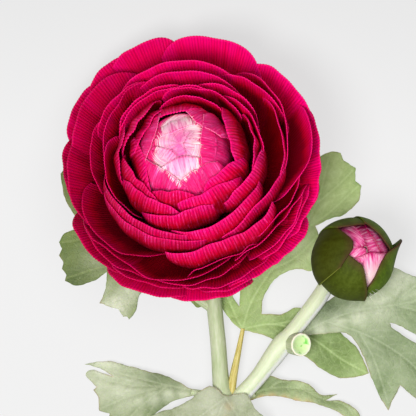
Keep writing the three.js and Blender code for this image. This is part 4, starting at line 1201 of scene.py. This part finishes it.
def petal_material():
    """Crimson silk: magenta near the rim and dark red below, as painted light and shade, with a dark
    line along each fine rib and painted pink highlights on ridges and rims.
    """
    shader = Shader("petal_silk")
    across, from_rim, inside = shader.reads("across", "from_rim", "inside")
    chance, ring, facing_up = shader.reads("chance", "ring", "facing_up")
    outside = 1.0 - inside
    place = shader.vector(across, from_rim * 0.07, chance * 97.0)
    streak = shader.noise(place, 0.95, 2.0)
    fine = shader.noise(place, 3.4, 2.0)
    drift = shader.noise(place, 0.16, 2.0)
    patch = shader.noise(shader.vector(across, from_rim, chance * 53.0), 0.9, 3.0, 0.6)
    rib = shader.math("COSINE", across * (2 * math.pi / RIB_PITCH) + drift * 13.0) * 0.5 + 0.5

    # Painted light and shade: magenta for as far below the rim as light falls on the petal, further on
    # inner faces that turn up, and dark red below that, darker in the outer rings.
    reach = (facing_up * 10.0 + 4.5) * inside + outside * 5.5
    uneven_tone = streak * 0.3 + (drift * 0.6 - 0.3)
    body = shader.ramp(
        (1.0 - from_rim / reach) * (ring * -0.24 + 0.7) + uneven_tone,
        {0.0: (132, 0, 8), 0.25: (192, 0, 30), 0.52: (224, 0, 76), 0.9: (245, 4, 124)},
    )
    # Painted light: inner faces that turn up to the light are bluer.
    lit_bluer = body.tint(facing_up * inside * 0.12, (206, 0, 124))
    line = rib**3.0 * fine.scaled(0.3, 0.7, 0.35, 1.0)
    line_share = outside * from_rim.scaled(1.0, 6.0, 0.8, 0.3) + inside * 0.5
    ribbed = lit_bluer.tint(line * line_share, (116, 0, 26))
    # Painted highlight: light pink on the rib ridges of outer faces, strongest near the rim.
    ridge = (1.0 - rib) * fine.scaled(0.42, 0.72)
    ridge_highlight = ridge * outside * patch.scaled(0.4, 0.62, 0.3, 1.2)
    lit = ribbed.tint(ridge_highlight * from_rim.scaled(0.5, 5.0, 0.95, 0.3), (255, 70, 168))
    # Painted highlight: a bright pink line along the rim, weaker in the outer rings.
    hem = (from_rim - (fine * 0.9 - 0.2)).scaled(0.0, 0.3, 0.45, 0.0)
    hemmed = lit.tint(hem * (ring * -0.7 + 1.0), (250, 30, 110))
    # Painted shade: outer rings darker, the more so away from the lit azimuth.
    deep = shader.mix(ring * ring * 0.72, hemmed, (0.34, 0.5, 0.2, 1), "MULTIPLY")
    return shader.finish(
        deep, streak.scaled(0.2, 0.8, 0.42, 0.62), rib * -1.0 + (streak * 0.7 + patch * 1.2), 0.8, 0.15,
        Subsurface_Weight=0.15, Subsurface_Radius=(1.0, 0.1, 0.2), Subsurface_Scale=0.002,
        Specular_IOR_Level=0.3, Specular_Tint=(1.0, 0.08, 0.4, 1.0),
    )


def heart_material():
    """Magenta outside the pale middle, and cream to pink within it, with fine fibres up each petal, a
    painted shadow line below each rim and a painted highlight on the rim.
    """
    shader = Shader("petal_heart")
    across, from_rim, pale, chance = shader.reads("across", "from_rim", "pale", "chance")
    place = shader.vector(across, from_rim * 0.1, chance * 97.0)
    streak = shader.noise(place, 2.1, 3.0, 0.65)
    drift = shader.noise(place, 0.5, 2.0)
    rib = shader.math("COSINE", across * (2 * math.pi / RIB_PITCH) + drift * 11.0) * 0.5 + 0.5

    magenta = shader.ramp(
        streak * 0.6 + drift * 0.4,
        {0.34: (196, 2, 68), 0.5: (236, 10, 108), 0.66: (254, 96, 172)},
    )
    ribbed = magenta.tint(rib**3.0 * 0.42, (164, 0, 54))
    cream = shader.ramp(
        drift * 0.9 + (streak * 0.3 + pale.scaled(0.0, 9.0, -0.45, 0.2)),
        {0.1: (255, 220, 222), 0.4: (251, 172, 203), 0.8: (240, 104, 170)},
    )
    toothed = pale + (streak * 7.5 - 3.75)
    blend = shader.mix(toothed.scaled(-0.4, 0.5), ribbed, cream)
    fibre = blend.tint(streak.scaled(0.52, 0.38, 0.0, 0.65), (224, 66, 140))
    # Painted shadow: a darker pink line just below each rim.
    from_shadow_line = shader.math("ABSOLUTE", from_rim - 0.45)
    rim_shadowed = fibre.tint(from_shadow_line.scaled(0.0, 0.35, 0.6, 0.0), (204, 16, 96))
    # Painted highlight: a pale line on the rim itself.
    hemmed = rim_shadowed.tint(from_rim.scaled(0.0, 0.2, 0.3, 0.0), (255, 190, 220))
    return shader.finish(
        hemmed, streak.scaled(0.2, 0.8, 0.45, 0.65), streak, 0.5, 0.1,
        Subsurface_Weight=0.2, Subsurface_Radius=(1.0, 0.35, 0.5), Subsurface_Scale=0.002,
        Specular_IOR_Level=0.25, Specular_Tint=(1.0, 0.35, 0.6, 1.0),
    )


def leaf_material(name, pale, mid, dark):
    """Matt green with patches of wanner tone and of darker tone that is partly painted shade, painted
    shade along the main veins, pale veins and a brown hem here and there.
    """
    shader = Shader(name)
    place = shader.place()
    from_main, from_side, from_edge = shader.reads("from_main", "from_side", "from_edge")
    deep, wan, tan, under = shader.reads("deep", "wan", "tan", "under")
    vein = [min(255, value + 24) for value in pale]
    drift = shader.noise(place, 90.0, 3.0)
    mottle = shader.noise(place, 520.0, 4.0, 0.65)
    cells = shader.add("TexVoronoi", {"Vector": place, "Scale": 560.0}, feature="DISTANCE_TO_EDGE")
    net = cells.scaled(0.0, 0.12, 1.0, 0.0)
    uneven = mottle.scaled(0.3, 0.6, 0.7, 1.1)

    body = shader.ramp(drift * 0.6 + mottle * 0.4, {0.32: dark, 0.5: mid, 0.68: pale})
    # Painted shade, partly the leaf's own darker tone: the darker patches go towards the dark green.
    patch_shaded = shader.mix(deep * uneven, body, colour(dark, 0.6))
    toned = patch_shaded.tint(wan * uneven, (198, 202, 178)).tint(tan * uneven, (184, 148, 96))
    # A faint pale net, and painted shade in the grooves along the main veins.
    shaded = toned.tint(net * 0.09, vein).tint(from_main.scaled(0.2, 2.2, 0.3, 0.0), dark)
    veined = shaded.tint(from_side.scaled(0.05, 0.4, 0.13, 0.0), vein)
    ribbed = veined.tint(from_main.scaled(0.1, 0.5, 0.28, 0.0), vein)
    rim = from_edge.scaled(0.0, 0.5, 0.5, 0.0) * drift.scaled(0.45, 0.6)
    hemmed = ribbed.tint(rim, (168, 142, 112))
    return shader.finish(
        hemmed.tint(under * 0.5, pale), mottle.scaled(0.3, 0.7, 0.5, 0.68),
        net * -0.5 + mottle * 0.8, 0.7, 0.16,
        Subsurface_Weight=0.08, Subsurface_Radius=(0.5, 0.8, 0.2), Subsurface_Scale=0.0015,
        Specular_IOR_Level=0.3,
    )


def stem_material(name, pale, mid, dark):
    """Smooth green skin with long faint streaks, painted shade down one side, a paler bud's stem with a
    painted whitish highlight down that same side, and cut pith.
    """
    shader = Shader(name)
    along, around, pith, bud_side = shader.reads("along", "around", "pith", "lilac")
    right = shader.math("COSINE", around)
    place = shader.vector(right * 2.6, shader.math("SINE", around) * 2.6, along * 0.16)
    streak = shader.noise(place, 1.5, 3.0)
    patch = shader.noise(place, 0.45, 2.0)
    grain = shader.noise(shader.place(), 900.0, 3.0)
    green = shader.noise(shader.place(), 420.0, 1.0)

    skin = shader.ramp(streak * 0.6 + patch * 0.4, {0.32: dark, 0.5: mid, 0.66: pale})
    # A paler bud's stem, and painted shade down one side of both stems.
    shady = skin.tint(bud_side * 0.5, (222, 230, 198)).tint(right.scaled(0.2, 1.0, 0.0, 0.35), dark)
    # Painted highlight: a whitish band down that side of the bud's stem.
    side_highlighted = shady.tint(bud_side * right.scaled(0.45, 0.75, 0.0, 0.85), (222, 222, 222))
    wood = shader.ramp(
        pith, {0.0: pale, 0.35: (236, 216, 206), 0.6: (222, 230, 200), 1.0: (196, 222, 156)}
    )
    fibre = wood.tint(green.scaled(0.55, 0.62, 0.0, 0.9), (84, 190, 30))
    core = shader.mix(pith.scaled(0.75, 0.95), wood, fibre)
    return shader.finish(
        shader.mix(pith.scaled(0.05, 0.3), side_highlighted, core), grain.scaled(0.3, 0.7, 0.42, 0.6),
        streak * 0.8 + grain * 0.4, 0.4, 0.12,
        Subsurface_Weight=0.12, Subsurface_Radius=(0.6, 0.9, 0.3), Subsurface_Scale=0.002,
        Specular_IOR_Level=0.4,
    )


def sepal_material(name, stops, line, tip, brown):
    """Olive skin with a faint grain, a fine light edge and a brown tip."""
    shader = Shader(name)
    across, from_tip, chance = shader.reads("across", "from_tip", "chance")
    shade, seam, hair = shader.reads("shade", "seam", "hair")
    place = shader.vector(across, from_tip * 0.22, chance * 61.0)
    streak = shader.noise(place, 0.7, 3.0)
    drift = shader.noise(place, 0.16, 2.0)
    grain = shader.noise(shader.place(), 1300.0, 3.0)

    body = shader.ramp(grain * 0.3 + (streak * 0.3 + drift * 0.4), stops)
    edged = body.tint(shade * 0.75, brown).tint(seam.scaled(0.97, 1.0, 0.0, 0.7), line)
    tipped = edged.tint(from_tip.scaled(0.0, 4.0, 0.6, 0.0), tip)
    rimmed = tipped.tint(from_tip.scaled(0.0, 0.2, 0.85, 0.0), tip)
    return shader.finish(
        rimmed.tint(hair, (238, 238, 222)), grain.scaled(0.3, 0.7, 0.55, 0.7),
        streak * 0.5 + grain * 0.5, 0.5, 0.1,
        Subsurface_Weight=0.05, Subsurface_Radius=(0.6, 0.6, 0.3), Subsurface_Scale=0.0015,
        Specular_IOR_Level=0.08,
    )


def bud_petal_material():
    """Pink that pales towards the foot, with magenta rims and streaks."""
    shader = Shader("bud_pink")
    across, side, from_tip = shader.reads("across", "side", "from_tip")
    chance, shade = shader.reads("chance", "shade")
    place = shader.vector(across, from_tip * 0.12, chance * 61.0)
    streak = shader.noise(place, 1.5, 3.0, 0.6)

    body = shader.ramp(streak, {0.34: (222, 24, 118), 0.48: (246, 104, 168), 0.66: (255, 196, 214)})
    lowest = shade.scaled(0.0, 0.1, 1.0, 0.0)
    towards_foot = from_tip.scaled(2.5, 8.0, 0.0, 0.85)
    paled = body.tint(lowest * towards_foot, (255, 218, 218))
    near_edge = side.scaled(0.55, 1.0, 0.0, 0.8) + from_tip.scaled(0.0, 2.4, 1.0, 0.0)
    inner = towards_foot * 0.8 + shade * 0.6
    rim = (inner * (1.0 - lowest) + near_edge) * streak.scaled(0.3, 0.68, 1.1, 0.4)
    rimmed = paled.tint(rim.scaled(0.0, 1.0), (168, 0, 82))
    hemmed = rimmed.tint(from_tip.scaled(0.2, 0.7, 0.85, 0.0), (158, 0, 70))
    return shader.finish(
        hemmed, streak.scaled(0.3, 0.7, 0.35, 0.5), streak, 0.5, 0.12,
        Subsurface_Weight=0.15, Subsurface_Radius=(1.0, 0.4, 0.5), Subsurface_Scale=0.002,
        Specular_IOR_Level=0.4,
    )


# Stage, lights and camera
# Lengths here are in metres, apart from the photograph's frame: its width and height in pixels, the
# pixel at the drawing frame's origin, how many pixels a millimetre takes and the height in
# millimetres at which that holds.

PHOTO_SIDE = 416
PHOTO_ORIGIN = (191.5, 167.5)
PIXELS_PER_MM = 3.0
PHOTO_HEIGHT = 28.0
CAMERA_DISTANCE = 4.0

# The floor's glow falls from the first to the second value between two places along y.
FLOOR_HALF = 3.0
FLOOR_TINT = (0.15, 0.15, 0.15, 1)
FLOOR_GLOW = (0.66, 0.6)
GLOW_PLACES = (0.07, 0.12)

SKY_STRENGTH = 0.12

# Round lights: place, size and power. Both look at the same point.
LIGHT_TARGET = (0, 0.05, 0)
LIGHTS = {
    "key": ((-0.34, -0.24, 1.22), 0.6, 16.8),
    "fill": ((0.25, 0.15, 1.3), 0.9, 8.8),
}


def floor():
    """A pale floor that glows, so that the shadows on it stay pale."""
    mesh = bpy.data.meshes.new("floor")
    corners = [(-1, -1), (1, -1), (1, 1), (-1, 1)]
    mesh.from_pydata([(x * FLOOR_HALF, y * FLOOR_HALF, 0) for x, y in corners], [], [(0, 1, 2, 3)])
    shader = Shader("floor_pale")
    y = shader.add("SeparateXYZ", {0: shader.place()}, out=1)
    shader.put(shader.surface.inputs["Emission Strength"], y.scaled(*GLOW_PLACES, *FLOOR_GLOW))
    mesh.materials.append(
        shader.finish(FLOOR_TINT, 0.9, Specular_IOR_Level=0.0, Emission_Color=(1, 1, 1, 1))
    )
    linked("floor", mesh)


def lights():
    world = bpy.data.worlds.new("studio")
    bpy.context.scene.world = world
    world.use_nodes = True
    sky = world.node_tree.nodes["Background"]
    sky.inputs["Color"].default_value = (1, 1, 1, 1)
    sky.inputs["Strength"].default_value = SKY_STRENGTH
    for name, (place, size, power) in LIGHTS.items():
        data = bpy.data.lights.new(name, "AREA")
        data.shape = "DISK"
        data.size = size
        data.energy = power
        made = linked(name, data)
        way = np.array(LIGHT_TARGET) - np.array(place)
        made.location = place
        pitch = math.acos(-way[2] / np.linalg.norm(way))
        made.rotation_euler = (pitch, 0, math.atan2(way[1], way[0]) - math.pi / 2)


def camera():
    """A camera far above that looks straight down, framed as the photograph is."""
    data = bpy.data.cameras.new("photo")
    data.sensor_width = 36
    data.lens = data.sensor_width * CAMERA_DISTANCE / (PHOTO_SIDE / PIXELS_PER_MM * MM)
    data.clip_end = 50
    made = linked("photo", data)
    x = (PHOTO_SIDE / 2 - PHOTO_ORIGIN[0]) / PIXELS_PER_MM
    y = (PHOTO_ORIGIN[1] - PHOTO_SIDE / 2) / PIXELS_PER_MM
    centre = (np.array([x, y, PHOTO_HEIGHT]) - FOOTPRINT_MIDDLE) * MM
    made.location = (centre[0], centre[1], centre[2] + CAMERA_DISTANCE)
    bpy.context.scene.camera = made
    bpy.context.scene.view_settings.view_transform = "Standard"


def bloom():
    """All petals of the open bloom. The number with each ring says how far out it is, and outer rings
    take more painted shade.
    """
    petal, heart = petal_material(), heart_material()
    guard = [(1.2, GUARD_PETALS), (0.9, OUTER_PETALS[:GUARDED])]
    outer = [(0.9, OUTER_PETALS[GUARDED:])]
    inner = [(0.75, MIDDLE_PETALS), (0.5, INNER_PETALS), (0.4, ROSETTE_PETALS[:3])]
    petals_piece("petals_guard", guard, "bloom_petals", petal, 0)
    petals_piece("petals_outer", outer, "bloom_petals", petal, 8)
    petals_piece("petals_inner", inner, "bloom_petals", petal, 1)
    petals_piece("petals_rosette", [(0.1, ROSETTE_PETALS[3:])], "bloom_petals", heart, 2)
    petals_piece("petals_heart", [(0.0, HEART_PETALS)], "bloom_heart", heart, 3, cap=True)


def bud_and_calyx():
    olive = sepal_material(
        "sepal_olive", {0.34: (52, 68, 6), 0.5: (78, 102, 18), 0.66: (104, 128, 40)},
        line=(140, 150, 56), tip=(74, 42, 32), brown=(40, 28, 0),
    )
    bud_piece(
        "bud_sepals_skin", BUD_SEPALS, SEPAL_SHADE, SEPAL_ROOT, 0, SEPAL_THICKNESS,
        "bud_sepals", olive, 4, sepal_extras,
    )
    bud_piece(
        "bud_petals_skin", BUD_PETALS, BUD_PETAL_SHADE, BUD_PETAL_ROOT, BUD_PETAL_SINK,
        BUD_PETAL_THICKNESS, "bud_petals", bud_petal_material(), 5, bud_core,
    )
    green = sepal_material(
        "calyx_green", {0.35: (150, 156, 70), 0.65: (196, 200, 120)},
        line=(214, 216, 150), tip=(150, 120, 70), brown=(140, 120, 60),
    )
    calyx_piece(green)


def leaves(green):
    """All blades and petioles. One petiole is ochre and the others are as green as the stems."""
    ochre = stem_material("petiole_ochre", (206, 196, 134), (186, 172, 96), (164, 144, 62))
    for seed, (letter, leaf) in enumerate(LEAVES.items(), LEAF_SEED):
        blade_piece(leaf, leaf_material("leaf_" + letter, *leaf["tints"]), seed)
        if "petiole" in leaf:
            petiole_piece(leaf, ochre if letter == "A" else green)


floor()
lights()
camera()
bloom()
stem_green = stem_material("stem_green", (184, 190, 160), (170, 180, 142), (150, 166, 120))
stems_piece(stem_green)
bud_and_calyx()
leaves(stem_green)
